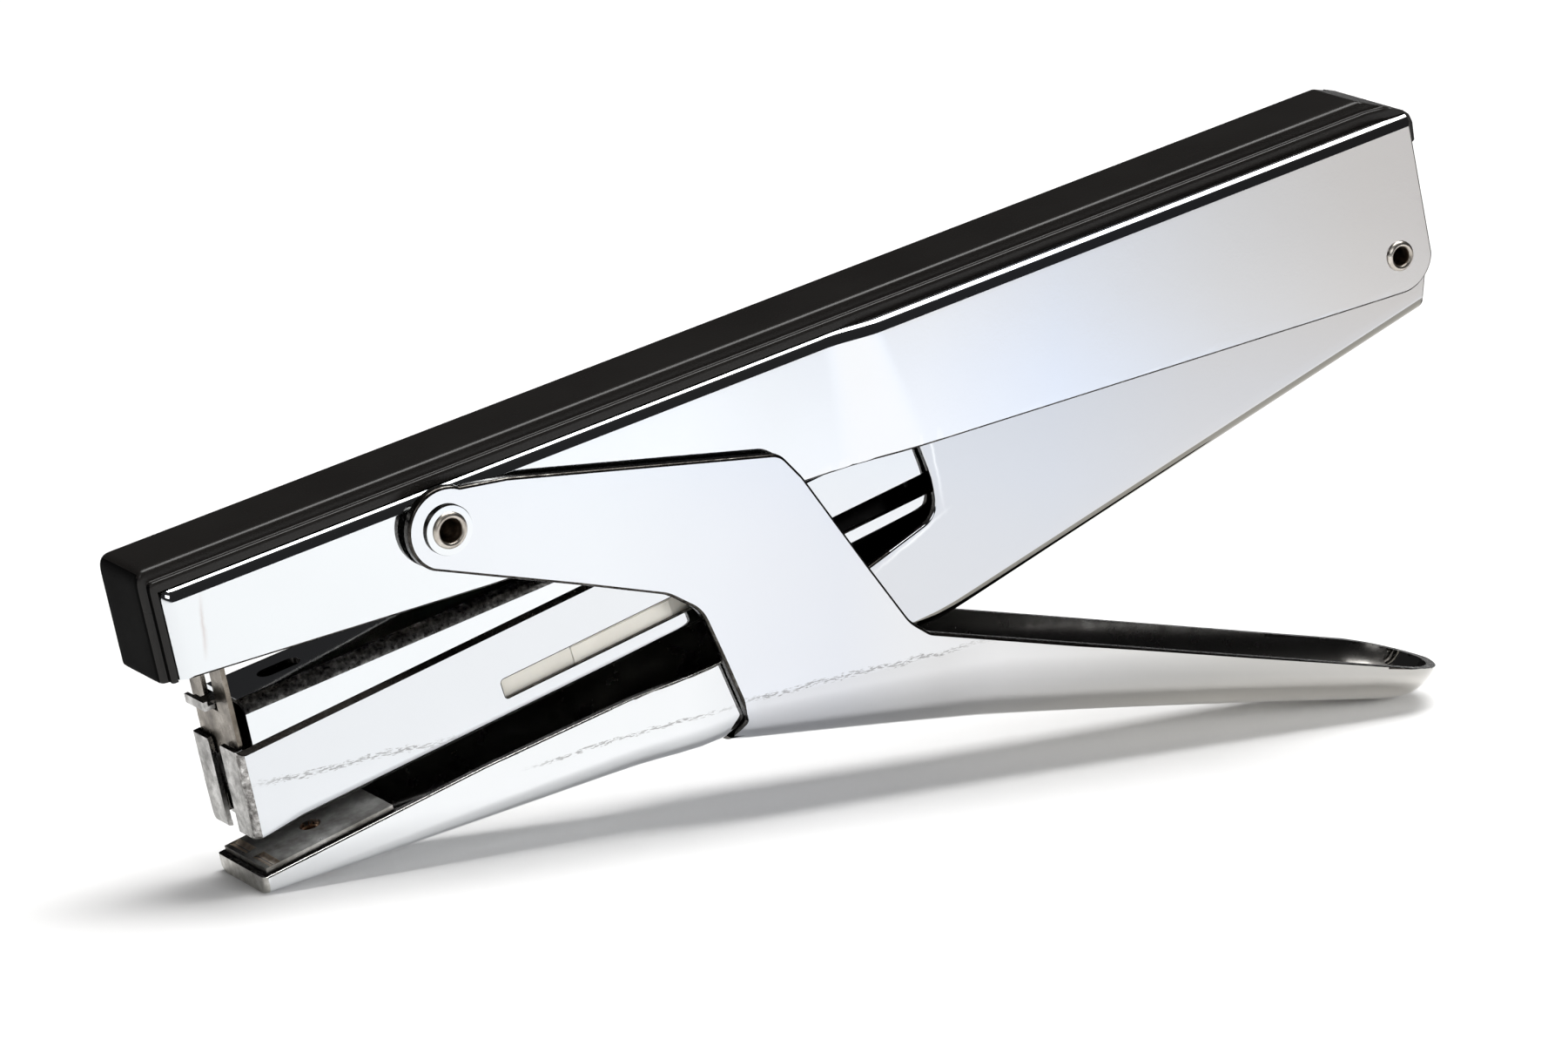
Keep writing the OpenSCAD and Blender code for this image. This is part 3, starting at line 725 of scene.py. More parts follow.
def near_poly(o, poly, dist, idx, ymin=0.0, nmax=.93, test=None):
    """material idx for the faces that lie along an X-Z outline, the sheared edges of a sheet"""
    P0 = np.array(poly)
    P1 = np.roll(P0, -1, axis=0)
    dv = P1 - P0
    L2 = (dv ** 2).sum(1)
    vs = o.data.vertices
    for p in o.data.polygons:
        if abs(p.normal.y) > nmax or abs(p.center.y) < ymin:
            continue
        if test and not test(p.center, p.normal):
            continue
        ok = True
        for v in p.vertices:
            c = np.array([vs[v].co.x, vs[v].co.z])
            t = np.clip(((c - P0) * dv).sum(1) / L2, 0, 1)
            q = P0 + dv * t[:, None]
            if ((q - c) ** 2).sum(1).min() > dist * dist:
                ok = False
                break
        if ok:
            p.material_index = idx


def mat_faces(o, test, idx):
    """give material idx to the faces for which test(centre, normal) holds, arm axes, before done()"""
    for p in o.data.polygons:
        if test(p.center, p.normal):
            p.material_index = idx


def smooth(t):
    t = min(1.0, max(0.0, t))
    return t * t * (3 - 2 * t)


def pw(x, pts):
    """piecewise linear"""
    return float(np.interp(x, [p[0] for p in pts], [p[1] for p in pts]))


WROWS = [0, .2, .4, .6, .75, .87, .95, 1]


def usec(x, hw, ztop, zb, a, b, n=10, yfun=None):
    """closed loop: two walls and a floor with elliptical bends; ztop is the open side"""
    pts = []
    zb_ = zb + b if ztop > zb else zb - b
    sg = 1 if ztop > zb else -1
    for f in WROWS:
        z = ztop + (zb_ - ztop) * f
        pts.append((x, -hw, z))
    for k in range(1, n + 1):
        t = k / n * math.pi / 2
        pts.append((x, -hw + a * (1 - math.cos(t)), zb_ - sg * b * math.sin(t)))
    for f in (.04, .3, .7, .96):
        pts.append((x, (-hw + a) + 2 * (hw - a) * f, zb))
    for k in range(n, 0, -1):
        t = k / n * math.pi / 2
        pts.append((x, hw - a * (1 - math.cos(t)), zb_ - sg * b * math.sin(t)))
    for f in reversed(WROWS):
        z = ztop + (zb_ - ztop) * f
        pts.append((x, hw, z))
    return pts

# ================================================================== upper arm
AF, AHF, AHR, AT, ATOP = -196.0, 8.2, 9.8, .8, 19.7


def arm_hw(x, z):
    zc = min(max(z, -6), 17.7)
    xc = -87.3 + zc * (-1.4 / 17.7)
    L = 13.5 - max(zc, 0) / 17.7 * 5.0
    return AHF + (AHR - AHF) * smooth((x - xc) / L + .5)


def arm_section(x, d, shrink=0.0):
    r = 1.72 - d if d else 1.72
    zt = ATOP - d
    pts = []
    rows = [-28, -20, -12, -8, -6, -4, -2, 0, 2, 4, 6, 8, 10, 11, 11.7, 12.4, 13.1, 13.8, 14.5, 15.2, 16, 16.8, 17.4, 17.98]
    side = []
    for z in rows:
        side.append((arm_hw(x, z) - d - shrink, z))
    hw = arm_hw(x, 17.7) - d - shrink
    # the bend leaves the flat side with a crease of ten degrees
    c0, s0 = math.cos(math.radians(10)), math.sin(math.radians(10))
    for t in np.radians([11.5, 19, 28, 37, 46, 55, 64, 73, 82, 90]):
        side.append((hw - r * (c0 - math.cos(t)) / c0, 17.98 + (zt - 17.98) * (math.sin(t) - s0) / (1 - s0)))
    left = [(x, -y, z) for y, z in side]
    right = [(x, y, z) for y, z in reversed(side)]
    mid = [(x, -(hw - r) * f, zt) for f in (.8, .3, -.3, -.8)]
    return left + mid + right


def arm_stations(d):
    xs, front = [], AF + d
    r = 2.0 - d
    out = []
    for k in range(9):
        a = k / 8 * math.pi / 2
        out.append((front + r * (1 - math.cos(a)), r * (1 - math.sin(a))))
    x = front + r
    xs = list(np.arange(x + .35, -188.6, .35)) + list(np.arange(-188.4, -98, 4.5)) + list(np.arange(-97, -74.9, .5)) + \
        list(np.arange(-72, 5, 5)) + [12.0]
    return out + [(float(v), 0.0) for v in xs]


def arm_loft(name, d):
    secs = []
    for x, s in arm_stations(d):
        sec = arm_section(x, d, s)
        # a small pressed mark near the front of both sides
        if not d:
            q = []
            for (px, py, pz) in sec:
                if abs(px + 191.15) < 2.5 and 9 < pz < 17.4 and abs(py) > 6:
                    cx = -191.2 + .05 * (pz - 13.2)
                    h = .10 * math.exp(-((px - cx) / .33) ** 2) * smooth((3.0 - abs(pz - 13.1)) / 1.2)
                    py = py - math.copysign(h, py)
                q.append((px, py, pz))
            sec = q
        secs.append(sec)
    return loft(name, secs)


arm = arm_loft("upper_arm_sheet", 0)
arm = boolean(arm, arm_loft("t", AT), "DIFFERENCE")
circ = [(5.7 * math.cos(t), 5.7 * math.sin(t)) for t in np.radians(np.arange(-90, -15, 6))]
# only the part of the circle in front of the rear edge
circ = [(x, z) for x, z in circ if x < 5.45]
outl = [(-198, -5.7 + 198 * .0657), (-150, 3.7), (-99.2, .77), (-81.8, -.1), (-11.4, -4.95), (-4, -5.45)] + circ + \
    [(5.5, -1.4), (5.5, 18.6), (5.2, 25), (-198, 25)]
arm = boolean(arm, edge_cutter(outl, arm_hw, .36), "INTERSECT")
arm = boolean(arm, cyl_y("t", -154.8, 14.4, 2.12, -20, 20), "DIFFERENCE")
arm = boolean(arm, cyl_y("t", 0, 0, 1.92, -20, 20), "DIFFERENCE")
clean(arm)
# painted shade: the faces inside the arm get the dark inside chrome
mat_faces(arm, lambda c, n: (abs(n.y) > .9 and c.y * n.y < 0) or (n.z < -.9 and c.z > 15) or (n.x > .9 and c.x < -190), 2)
# painted shade: the sheared edges get the dark cut-edge chrome
near_poly(arm, outl, .40, 1, 6, .992)
shade(arm, 35)
done(arm, ["upper_arm"], "chrome_sheet", [M["chrome_arm"], M["cut"], M["inner"]])

# ================================================================== plastic strip
# half profile (y, height over the arm) from the middle out: crown, drop, groove, ledge
prof = [(0, 3.16), (3.2, 3.16), (4.9, 3.13), (5.35, 3.06), (5.66, 2.9), (5.84, 2.66), (5.92, 2.35), (5.97, 1.95), (6.0, 1.62),
        (6.08, 1.46), (6.24, 1.38), (6.45, 1.4), (6.7, 1.5), (6.88, 1.5), (7.04, 1.42), (7.14, 1.25), (7.18, .95), (7.18, .02)]
BX, BZ = -195.9, 19.72


def strip_loop(place_pt, scale=lambda h: h):
    h = [(y, scale(z)) for y, z in prof]
    pts = [(-y, z) for y, z in reversed(h)] + [(y, z) for y, z in h[1:]]
    return [place_pt(y, z) for y, z in pts]


secs = []


def rear_pt(x):
    """behind the crown the whole profile runs down to the arm's edge and widens"""
    u = min(1.0, max(0.0, (x + .3) / 5.8))
    top = 3.16 * (1 - u) + .42 * u
    wide = 1 + .2 * smooth(u)
    return lambda y, h: (x, y * wide, BZ - .02 + min(h, top if u > 0 else 9))


for x in [5.5, 4.9, 4.2, 3.4, 2.6, 1.8, 1.1, .5, .1, -.3, -.8, -2, -12, -40, -80, -120, -150, -175, -188, -193, -195.2]:
    secs.append(strip_loop(rear_pt(x)))
# over the front edge and down: heights shrink from 3.16 to 2.18, the corner is a rounded square
FRONT_K = .69
for k in range(1, 12):
    a = math.pi / 2 * k / 12
    c, s_ = math.cos(a), math.sin(a)

    def pt(y, h, c=c, s_=s_):
        ha, hb = max(h, .03), max(h * FRONT_K, .03)
        rho = ((c / ha) ** 3.2 + (s_ / hb) ** 3.2) ** (-1 / 3.2)
        return (BX - s_ * rho, y, BZ - .02 + c * rho)
    secs.append(strip_loop(pt))
for z in [19.2, 18.0, 15, 12, 9.5, 8.0, 7.5]:
    secs.append(strip_loop(lambda y, h, z=z: (BX - h * FRONT_K, y, z)))
# the lower end is turned in a little
for z, k in [(7.15, .97), (6.92, .88), (6.85, .72)]:
    secs.append(strip_loop(lambda y, h, z=z, k=k: (BX - h * FRONT_K * k, y * (1 - (1 - k) * .06), z)))
strip = loft("top_strip_body", secs)
# rear lip folded over the arm's back edge
lip_pts = fillet([(4.9, 19.74), (5.56, 19.74), (5.56, 15.3), (6.0, 15.1), (6.5, 15.3), (6.68, 18.0), (6.3, 19.3), (5.5, 20.1), (4.9, 20.3)],
                 [0, 0, .1, .25, .25, 1.2, 1.0, .6, 0], 10)
strip = boolean(strip, prism("t", lip_pts, -8.62, 8.62), "UNION")
clean(strip)
bevel(strip, .1, 2, 42)
# painted shade: the front face gets the darker grained plastic
mat_faces(strip, lambda c, n: n.x < -.75 and c.x < -196, 1)
shade(strip, 42)
done(strip, ["top_strip"], "black_plastic", [M["black_plastic"], M["plastic_front"]])

# ================================================================== lower line and width of the anvil arm
ZB = [(-190.7, -26.4), (-121, -31.5), (-90, -26.6), (-83, -26.3), (2.9, -9.6), (12, -7.8)]


def zb(x, d=0.0):
    # the corners of the bottom line are eased over a few millimetres
    w = 3.0
    v = sum(pw(x + o * w, ZB) for o in (-1, -.5, 0, .5, 1)) / 5.0
    if x < -187:
        v = pw(x, ZB)
    return v + d


def anv_hw(x):
    return 7.15 + (8.7 - 7.15) * smooth((x + 134) / 14)


def anv_r(x):
    return pw(x, [(-191, 1.2), (-182, 1.5), (-160, 2.6), (-140, 3.6), (-122, 4.4), (-112, 3.8), (-100, 2.8), (-85, 2.3), (10, 2.1)])


# ================================================================== hand lever
LA = math.radians(18.3)
LO = (-116.0, -32.6)


def L2A(t, y, w):
    return (LO[0] + t * math.cos(LA) + w * math.sin(LA), y, LO[1] - t * math.sin(LA) + w * math.cos(LA))


def zlev(x):
    return LO[1] - (x - LO[0]) * math.tan(LA)


def lev_secs(d):
    out = []
    ts = list(np.arange(-66, 0, 6.0)) + list(np.arange(0, 108, 3.0)) + [108.6]
    TOPW = 56

    def sec(t, hw, extra=0.0):
        fl = .75 * math.sin(math.pi * min(max(t / 112, 0), 1)) + d + extra
        a = pw(t, [(-66, 6.2), (0, 6.4), (20, 8.2), (40, 10.0), (112, 10.2)]) - d
        b = pw(t, [(-66, 6.6), (0, 7.0), (18, 9.6), (38, 12.0), (60, 11.2), (100, 8.6), (125, 7.5)]) - d
        a = min(a, hw - .02)
        pts = []
        rows = [0, .3, .55, .75, .88, .96, 1]
        for f in rows:
            pts.append((-hw, TOPW + (fl + b - TOPW) * f))
        n = 14
        for k in range(1, n + 1):
            q = k / n * math.pi / 2
            pts.append((-hw + a * (1 - math.cos(q)), fl + b - b * math.sin(q)))
        for f in (.1, .5, .9):
            pts.append(((-hw + a) + 2 * (hw - a) * f, fl))
        for k in range(n, 0, -1):
            q = k / n * math.pi / 2
            pts.append((hw - a * (1 - math.cos(q)), fl + b - b * math.sin(q)))
        for f in reversed(rows):
            pts.append((hw, TOPW + (fl + b - TOPW) * f))
        return [L2A(t, y, w) for y, w in pts]

    for t in ts:
        out.append(sec(float(t), 10.4 - d))
    R = 10.4 - d
    for k in range(1, 15):
        q = k / 15 * math.pi / 2
        up = (6.2) * (1 - math.cos(min(1.0, k / 14.0) ** 1.3 * math.pi / 2))
        out.append(sec(108.6 + R * math.sin(q), R * math.cos(q), up))
    return out


lever = loft("hand_lever_sheet", lev_secs(0))
lever = boolean(lever, loft("t", lev_secs(1.3)), "DIFFERENCE")
px, pz = -154.8, 14.4
# outline of the side plates; the pivot end is a circle of radius 5.9
ang0, ang1 = math.radians(58), math.radians(236)
arc = [(px + 5.9 * math.cos(a), pz + 5.9 * math.sin(a)) for a in np.linspace(ang0, ang1, 40)]
low = [(-137.3, -.3), (-125, -6.3), (-120.6, -10.3), (-118.8, -18.2), (-116.6, -28.6), (-118.3, -30.4), (-118.3, -36), (3, -76), (6, -69.2)]
upp = [(2.2, -66.25), (-86.6, -26.25), (-89.3, -23.5), (-93.9, -13.6), (-101.2, 2.6), (-103.9, 6.95), (-144.7, 18.2)]
poly = arc + low + upp
rads = [0] * len(arc) + [0, 6, 5.5, 30, 1.0, 1.2, 0, 0, 0] + [.8, 2.6, 6, 0, 5, 3.2, 0]
lpoly = fillet(poly, rads, 8)
lever = boolean(lever, edge_cutter(lpoly, lambda x, z: 10.4, .44), "INTERSECT")
lever = boolean(lever, cyl_y("t", px, pz, 2.15, -20, 20), "DIFFERENCE")
# the floor's front edge is coined thin where it lifts the anvil arm
lever = boolean(lever, box("t", -121, -115.7, -7.5, 7.5, -31.2, -20), "DIFFERENCE")


def anv_in_lever(x, z, s):
    """where a point of the anvil arm stands in the lever's own rest axes at the share s of the squeeze"""
    a, b = -JAW_MAX * s, -LEV_MAX * s
    x, z = x * math.cos(a) - z * math.sin(a), x * math.sin(a) + z * math.cos(a)
    x, z = x - px, z - pz
    return px + x * math.cos(b) - z * math.sin(b), pz + x * math.sin(b) + z * math.cos(b)


# the bend of the floor is eased where the anvil arm's lower corners slide along it
LEV_MAX = math.radians(13.0)
JAW_MAX = LEV_MAX * .3384
for s in (0, .25, .5, .75, 1):
    cs = []
    for x in np.arange(-128, -55, 3.6):
        r = anv_r(x) + .14
        sec_ = usec(float(x), anv_hw(x) + .14, 6, zb(float(x)) - .14, r, r)
        cs.append([(anv_in_lever(q_[0], q_[2], s)[0], q_[1], anv_in_lever(q_[0], q_[2], s)[1]) for q_ in sec_])
    lever = boolean(lever, loft("t", cs), "DIFFERENCE")
clean(lever)
# painted shade: the faces inside the lever get the dark inside chrome
mat_faces(lever, lambda c, n: (abs(n.y) > .5 and c.y * n.y < 0) or (n.z > .3 and abs(c.y) < 9 and c.z < zlev(c.x) + 4), 2)
# painted shade: the sheared edges get the dark cut-edge chrome
near_poly(lever, lpoly, .48, 1, 0, .992)
shade(lever, 35)
done(lever, ["hand_lever"], "chrome_sheet", [M["chrome_lever"], M["cut"], M["inner"]])

# ================================================================== anvil arm
def anv_secs(d):
    out = []
    f = -190.7 + d
    rr = max(.9 - d * .7, .25)
    for k in range(6):
        a = k / 5 * math.pi / 2
        x = f + rr * (1 - math.cos(a))
        hw = anv_hw(x) - d - rr * (1 - math.sin(a))
        r = max(anv_r(x) - d, .35)
        out.append(usec(x, hw, 14, zb(x, d), r, r))
    xs = list(np.arange(-189.5, -170, 2.4)) + list(np.arange(-168, -60, 3.0)) + list(np.arange(-57, 6, 6.0)) + [9.0]
    for x in xs:
        if x <= f + rr + .05:
            continue
        r = max(anv_r(x) - d, .35)
        out.append(usec(float(x), anv_hw(x) - d, 14, zb(float(x), d), r, r))
    return out


anv = loft("anvil_arm_sheet", anv_secs(0))
anv = boolean(anv, loft("t", anv_secs(.9)), "DIFFERENCE")
apoly = [(-193, -30), (-193, -24.05), (-190.5, -23.85), (-155.3, -20.9), (-117.8, -19.1), (-92.9, -14.2), (-80.95, -10.9),
         (-80.75, -5.5), (-82.6, 5), (-80, 7.5), (2, 7), (5, 4), (5, -3), (2.9, -9.62), (2.9, -40), (-193, -40)]
arad = [0, 0, 0, 30, 30, 12, 4.2, 14, 1.5, 1.5, 2, 2, 6, 0, 0, 0]
apoly_f = fillet(apoly, arad, 8)
anv = boolean(anv, edge_cutter(apoly_f, lambda x, z: anv_hw(x), .34), "INTERSECT")
anv = boolean(anv, cyl_y("t", 0, 0, 1.95, -20, 20), "DIFFERENCE")
hole = cyl_axis("t", (-179.5, 0, -40), (-179.5, 0, 0), [(0, 0), (1.52, 0), (1.52, 30), (0, 30)], 40)
anv = boolean(anv, hole, "DIFFERENCE")
clean(anv)
# painted shade: the faces inside the anvil arm get the dark inside chrome
mat_faces(anv, lambda c, n: (abs(n.y) > .3 and c.y * n.y < 0) or (n.z > .3 and abs(c.y) < 8 and c.z < zb(c.x) + 3), 2)
mat_faces(anv, lambda c, n: n.x < -.3 and c.x < -189.3, 4)
# painted shade: the rear part of the anvil's lower outer bend gets the dark 'under' chrome
mat_faces(anv, lambda c, n: n.z < -.12 and abs(n.y) < .995 and c.x > -108 and c.z < zb(c.x) + 2.5 and c.y * n.y > 0, 3)
# painted shade: the sheared edges get the dark cut-edge chrome, apart from the notch's
near_poly(anv, apoly_f, .38, 1, 0, .992, lambda c, n: not (-88 < c.x < -78 and c.z > -13.5 and abs(n.y) > .3))
# painted highlight: the sheared side rims at the front get the bright edge nickel
for f in anv.data.polygons:
    if f.material_index == 1 and f.center.x < -118 and abs(f.normal.y) > .35 and f.center.y * f.normal.y > 0:
        f.material_index = 5
shade(anv, 35)
done(anv, ["anvil_arm"], "chrome_sheet", [M["chrome_anvil"], M["cut"], M["inner"], M["under"], M["front_nickel"], M["edge_nickel_painted_highlight"]])

# ================================================================== magazine channel
TM = math.tan(MAG_A)
CM = 1 / math.cos(MAG_A)


def mz(x, zm):
    return x * TM + zm * CM


def chan_secs(d):
    out = []
    f = -190.3 + d * 1.05
    R = 1.3 - d * .8
    hw0, z0 = 7.15 - d, -4.9 + d
    top = 8.15 if not d else 20

    def rb(x):
        # the bottom bend is struck tighter behind the flanges
        return max(pw(x, [(-190.3, .75), (-188.5, .85), (-183, 1.7)]) - d, .25)
    for k in range(7):
        a = k / 6 * math.pi / 2
        x = f + R * (1 - math.cos(a))
        s = R * (1 - math.sin(a))
        out.append([(p[0], p[1], mz(x, p[2])) for p in usec(x, hw0 - s, top, z0 + s * .35, rb(x), rb(x))])
    for x in [-188.3, -187, -185, -183] + list(np.arange(-180, -4, 6.0)) + [-2.0, 4.0, 9.0]:
        out.append([(p[0], p[1], mz(x, p[2])) for p in usec(float(x), hw0, top, z0, rb(x), rb(x))])
    # below a faint line the sides lean in by a few degrees
    res = []
    for sec in out:
        q = []
        for (x, y, z) in sec:
            zm = (z - x * TM) / CM
            line = pw(x, [(-190, .2), (-150, -1.2), (-110, -1.6), (0, -1.6)])
            k = max(0.0, line - zm)
            lean = .055 * k * smooth(k / .8)
            q.append((x, y - math.copysign(min(lean, .22), y) if abs(y) > .5 else y, z))
        res.append(q)
    return res


chan = loft("magazine_channel_sheet", chan_secs(0))
chan = boolean(chan, loft("t", chan_secs(.65)), "DIFFERENCE")
cp = [(-192, -30), (-192, mz(-190.3, 8.6) + .02), (-189.9, mz(-189.9, 8.6) + .02), (-1, mz(-1, 8.6) + .05)]
back = [(4.85 * math.cos(t), 4.85 * math.sin(t)) for t in np.radians(np.arange(84, -88, -6))]
chan = boolean(chan, prism("t", [(-192, -30), (-192, 12), (-1, 12), (-.5, 4.8)] + back + [(0, -4.85), (0, -30)], -14, 14), "INTERSECT")
# slot between the two front flanges, with a flared lead-in at the top
slot_sec = [(-1.7, -40), (1.7, -40), (1.7, -6.2), (2.5, -4.9), (2.5, 10), (-2.5, 10), (-2.5, -4.9), (-1.7, -6.2)]
chan = boolean(chan, loft("t", [[(-192, y, z) for y, z in slot_sec], [(-188.9, y, z) for y, z in slot_sec]]), "DIFFERENCE")
chan = boolean(chan, box("t", -189.55, -187.5, -6.45, 6.45, -25, -16), "DIFFERENCE")
# the top edges are struck inwards
for sg in (-1, 1):
    tri = [(sg * 7.4, 7.15), (sg * 7.4, 8.6), (sg * 6.42, 8.6), (sg * 6.42, 8.13)]
    chan = boolean(chan, loft("t", [[(x, y, mz(x, z)) for y, z in tri] for x in (-194.0, 12.0)]), "DIFFERENCE")
# long window in both sides
st_pts = [(-149.6, .9), (-149.6, .9)]
sl = []
sl = fillet([(-150.95, .9), (-150.95, -1.85), (-70.2, -1.85), (-70.2, .9)], [.45, .45, 1.3, 1.3], 15)
slp = []
for x, z in sl:
    v = MAGM @ Vector((x, 0, z))
    slp.append((v.x, v.z))
chan = boolean(chan, hole_cutter(slp, 7.15, .24), "DIFFERENCE")
chan = boolean(chan, cyl_y("t", 0, 0, 1.95, -20, 20), "DIFFERENCE")
clean(chan)
bevel(chan, .15, 2, 40)
# painted shade: the faces inside the channel get the dark inside chrome
mat_faces(chan, lambda c, n: (abs(n.y) > .3 and c.y * n.y < 0) or (n.z > .3 and abs(c.y) < 6.6 and c.z < mz(c.x, -3)), 2)
mat_faces(chan, lambda c, n: (c.x < -189.3 and n.x < -.6) or (c.x < -187.2 and abs(c.y) < 5.9), 1)
# painted shade: the struck-in top edges and the window's edges get the dark cut-edge chrome
mat_faces(chan, lambda c, n: (n.z > .6 and c.z > mz(c.x, 7.2)) or (n.z > .35 and abs(n.y) > .3 and c.z > mz(c.x, 7.2) and abs(c.y) > 6.3), 3)
near_poly(chan, slp, .28, 3, 6.4, .992)
# painted shade: the front bends get the dark bend chrome
mat_faces(chan, lambda c, n: c.x < -188.9 and .3 < abs(n.y) < .96 and n.x < -.2 and abs(c.y) > 5.9, 4)
shade(chan, 35)
done(chan, ["magazine_channel"], "chrome_sheet", [M["chrome_mag"], M["flange_nickel"], M["inner"], M["cut"], M["bend"]])


# ================================================================== CAD shapes taken over with eased edges
def dress(nodes, name, slotname, bev=.1, seg=2, mats=None, ang=35, extra=None, post=None, bend=None):
    bm = bmesh.new()
    for n in nodes:
        me = frame["nodes"][n].data.copy()
        me.transform(ARM_INV)
        bm.from_mesh(me)
        bpy.data.meshes.remove(me)
    bmesh.ops.remove_doubles(bm, verts=bm.verts, dist=1e-3)
    bmesh.ops.dissolve_limit(bm, angle_limit=math.radians(.6), verts=bm.verts, edges=bm.edges)
    me = bpy.data.meshes.new(name)
    bm.to_mesh(me)
    bm.free()
    for a in list(me.attributes):
        if a.name in ("custom_normal",):
            me.attributes.remove(a)
    o = link(bpy.data.objects.new(name, me))
    if extra:
        extra(o)
    if bev:
        bevel(o, bev, seg, ang)
    if post:
        post(o)
    shade(o, ang)
    return done(o, nodes, slotname, mats, bend=bend)


def cover_mats(o):
    for f in o.data.polygons:
        if f.center.x < -187.6 and abs(f.center.y) < 3:
            f.material_index = 1
        # painted shade: the inward faces get the dark inside chrome
        elif abs(f.normal.y) > .3 and f.center.y * f.normal.y < 0:
            f.material_index = 2
        # painted shade: the side bends get the dark bend chrome
        elif .12 < abs(f.normal.y) < .985 and f.normal.z > .1 and abs(f.center.y) > 4:
            f.material_index = 3


dress(["magazine_cover"], "magazine_cover_sheet", "chrome_sheet", .1, mats=[M["chrome_sheet"], M["flange_nickel"], M["inner"], M["bend"]], post=cover_mats)
dress(["driver_blade"], "driver_blade_plate", "nickel_steel", .09, mats=[M["driver_nickel"]])
dress(["driver_holder"], "driver_holder_block", "nickel_steel", .15)
dress(["driver_rivets"], "driver_rivet_heads", "nickel_steel", .15)
dress(["strip_rivets"], "strip_rivet_heads", "nickel_steel", .15)
PUS = []


def mag_prism(name, pts, y0, y1):
    v = [MAGM @ Vector((x, 0, z)) for x, z in pts]
    return prism(name, [(q.x, q.z) for q in v], y0, y1)


# pusher: rounded nylon body with a rib along the window and an inset block
pb = mag_prism("staple_pusher_body", fillet([(-151.5, -4.1), (-118.5, -4.1), (-118.5, 1.9), (-131, 2.05), (-135.5, 3.4), (-147.5, 3.4), (-151.5, 1.9)],
                                            [.6, .6, .6, 1, 1, 1, .8]), -6.25, 6.25)
for sg in (-1, 1):
    cut = mag_prism("t", fillet([(-150.6, -2.6), (-139.4, -2.6), (-139.4, 1.2), (-150.6, 1.2)], .5), *sorted((sg * 6.02, sg * 7)))
    pb = boolean(pb, cut, "DIFFERENCE")
    cut = mag_prism("t", fillet([(-123.4, -2.6), (-117, -2.6), (-117, 1.2), (-123.4, 1.2)], .4), *sorted((sg * 5.9, sg * 7)))
    pb = boolean(pb, cut, "DIFFERENCE")
    cut = mag_prism("t", [(-152, .42), (-118, .42), (-118, .56), (-152, .56)], *sorted((sg * 6.1, sg * 7)))
    pb = boolean(pb, cut, "DIFFERENCE")
rod_hole = cyl_axis("t", MAGM @ Vector((-153, 0, -1)), MAGM @ Vector((-116, 0, -1)), [(0, 0), (1.1, 0), (1.1, 37), (0, 37)], 32)
pb = boolean(pb, rod_hole, "DIFFERENCE")
spr_hole = cyl_axis("t", MAGM @ Vector((-131.6, 0, -1)), MAGM @ Vector((-116, 0, -1)), [(0, 0), (2.2, 0), (2.2, 16), (0, 16)], 32)
pb = boolean(pb, spr_hole, "DIFFERENCE")
clean(pb)
bevel(pb, .16, 3, 40)
shade(pb, 38)
done(pb, ["staple_pusher"], "cream_nylon")
dress(["guide_rod"], "guide_rod_turned", "nickel_steel", .12)
dress(["rod_bracket"], "rod_bracket_plate", "nickel_steel", .12)


def edge_highlights_and_pockets(o):
    for f in o.data.polygons:
        # painted highlight: the small slanted faces, the edges, get the bright edge nickel
        if max(abs(v) for v in f.normal) < .97 and f.area < 6:
            f.material_index = 1
        # the two pockets that turn the staple's legs over
        if 1.1 < abs(f.center.y) < 6.1 and -189.7 < f.center.x < -186.9 and f.center.z > -24.0 and abs(f.normal.z) < .995:
            f.material_index = 2


dress(["anvil_plate"], "anvil_plate_block", "anvil_nickel", .12, mats=[M["anvil_nickel"], M["edge_nickel_painted_highlight"], M["clinch_nickel"]], post=edge_highlights_and_pockets)


def jaw_leaf(o):
    # the free end stands a little off the magazine, which comes closer as the jaws close
    for v in o.data.vertices:
        if v.co.x < -42:
            v.co.z -= 1.55 * ((-42 - v.co.x) / 28) ** 1.4
    o.data.update()


# the leaf between arm and magazine flexes as the magazine lifts
dress(["magazine_spring"], "magazine_leaf_spring", "spring_steel", .08, bend=("arm", "magazine", P(-42, 0, 17.5), P(-85, 0, 3.7)))
dress(["jaw_spring"], "jaw_leaf_spring", "spring_steel", .08, extra=jaw_leaf)

# ------------------------------------------------------------------ rivets and washers, turned profiles
# lever rivet: tube with both ends rolled over
def rolled(ro, ri, y0, yh, rh, th):
    """half profile of a tube end rolled out to radius rh at y0..yh"""
    return [(ri, 0), (ri, yh - .62), (ri + .06, yh - .3), (ri + .25, yh - .08), ((ri + rh) / 2, yh), (rh - .28, yh - .1),
            (rh - .05, yh - .3), (rh, y0 + .12), (rh - .1, y0), (ro, y0), (ro, 0)]


def two_sided(name, prof, x, z, n=72):
    a = lathe_y(name, prof, x, z, n, -1)
    b = lathe_y("t", prof, x, z, n, 1)
    bm = bmesh.new()
    bm.from_mesh(a.data)
    bm.from_mesh(b.data)
    # the faces in the middle plane meet; drop them and join the halves
    drop = [f for f in bm.faces if all(abs(v.co.y) < 1e-5 for v in f.verts)]
    bmesh.ops.delete(bm, geom=drop, context="FACES")
    bmesh.ops.remove_doubles(bm, verts=bm.verts, dist=1e-4)
    bmesh.ops.recalc_face_normals(bm, faces=bm.faces)
    bm.to_mesh(a.data)
    bm.free()
    bpy.data.objects.remove(b, do_unlink=True)
    return a


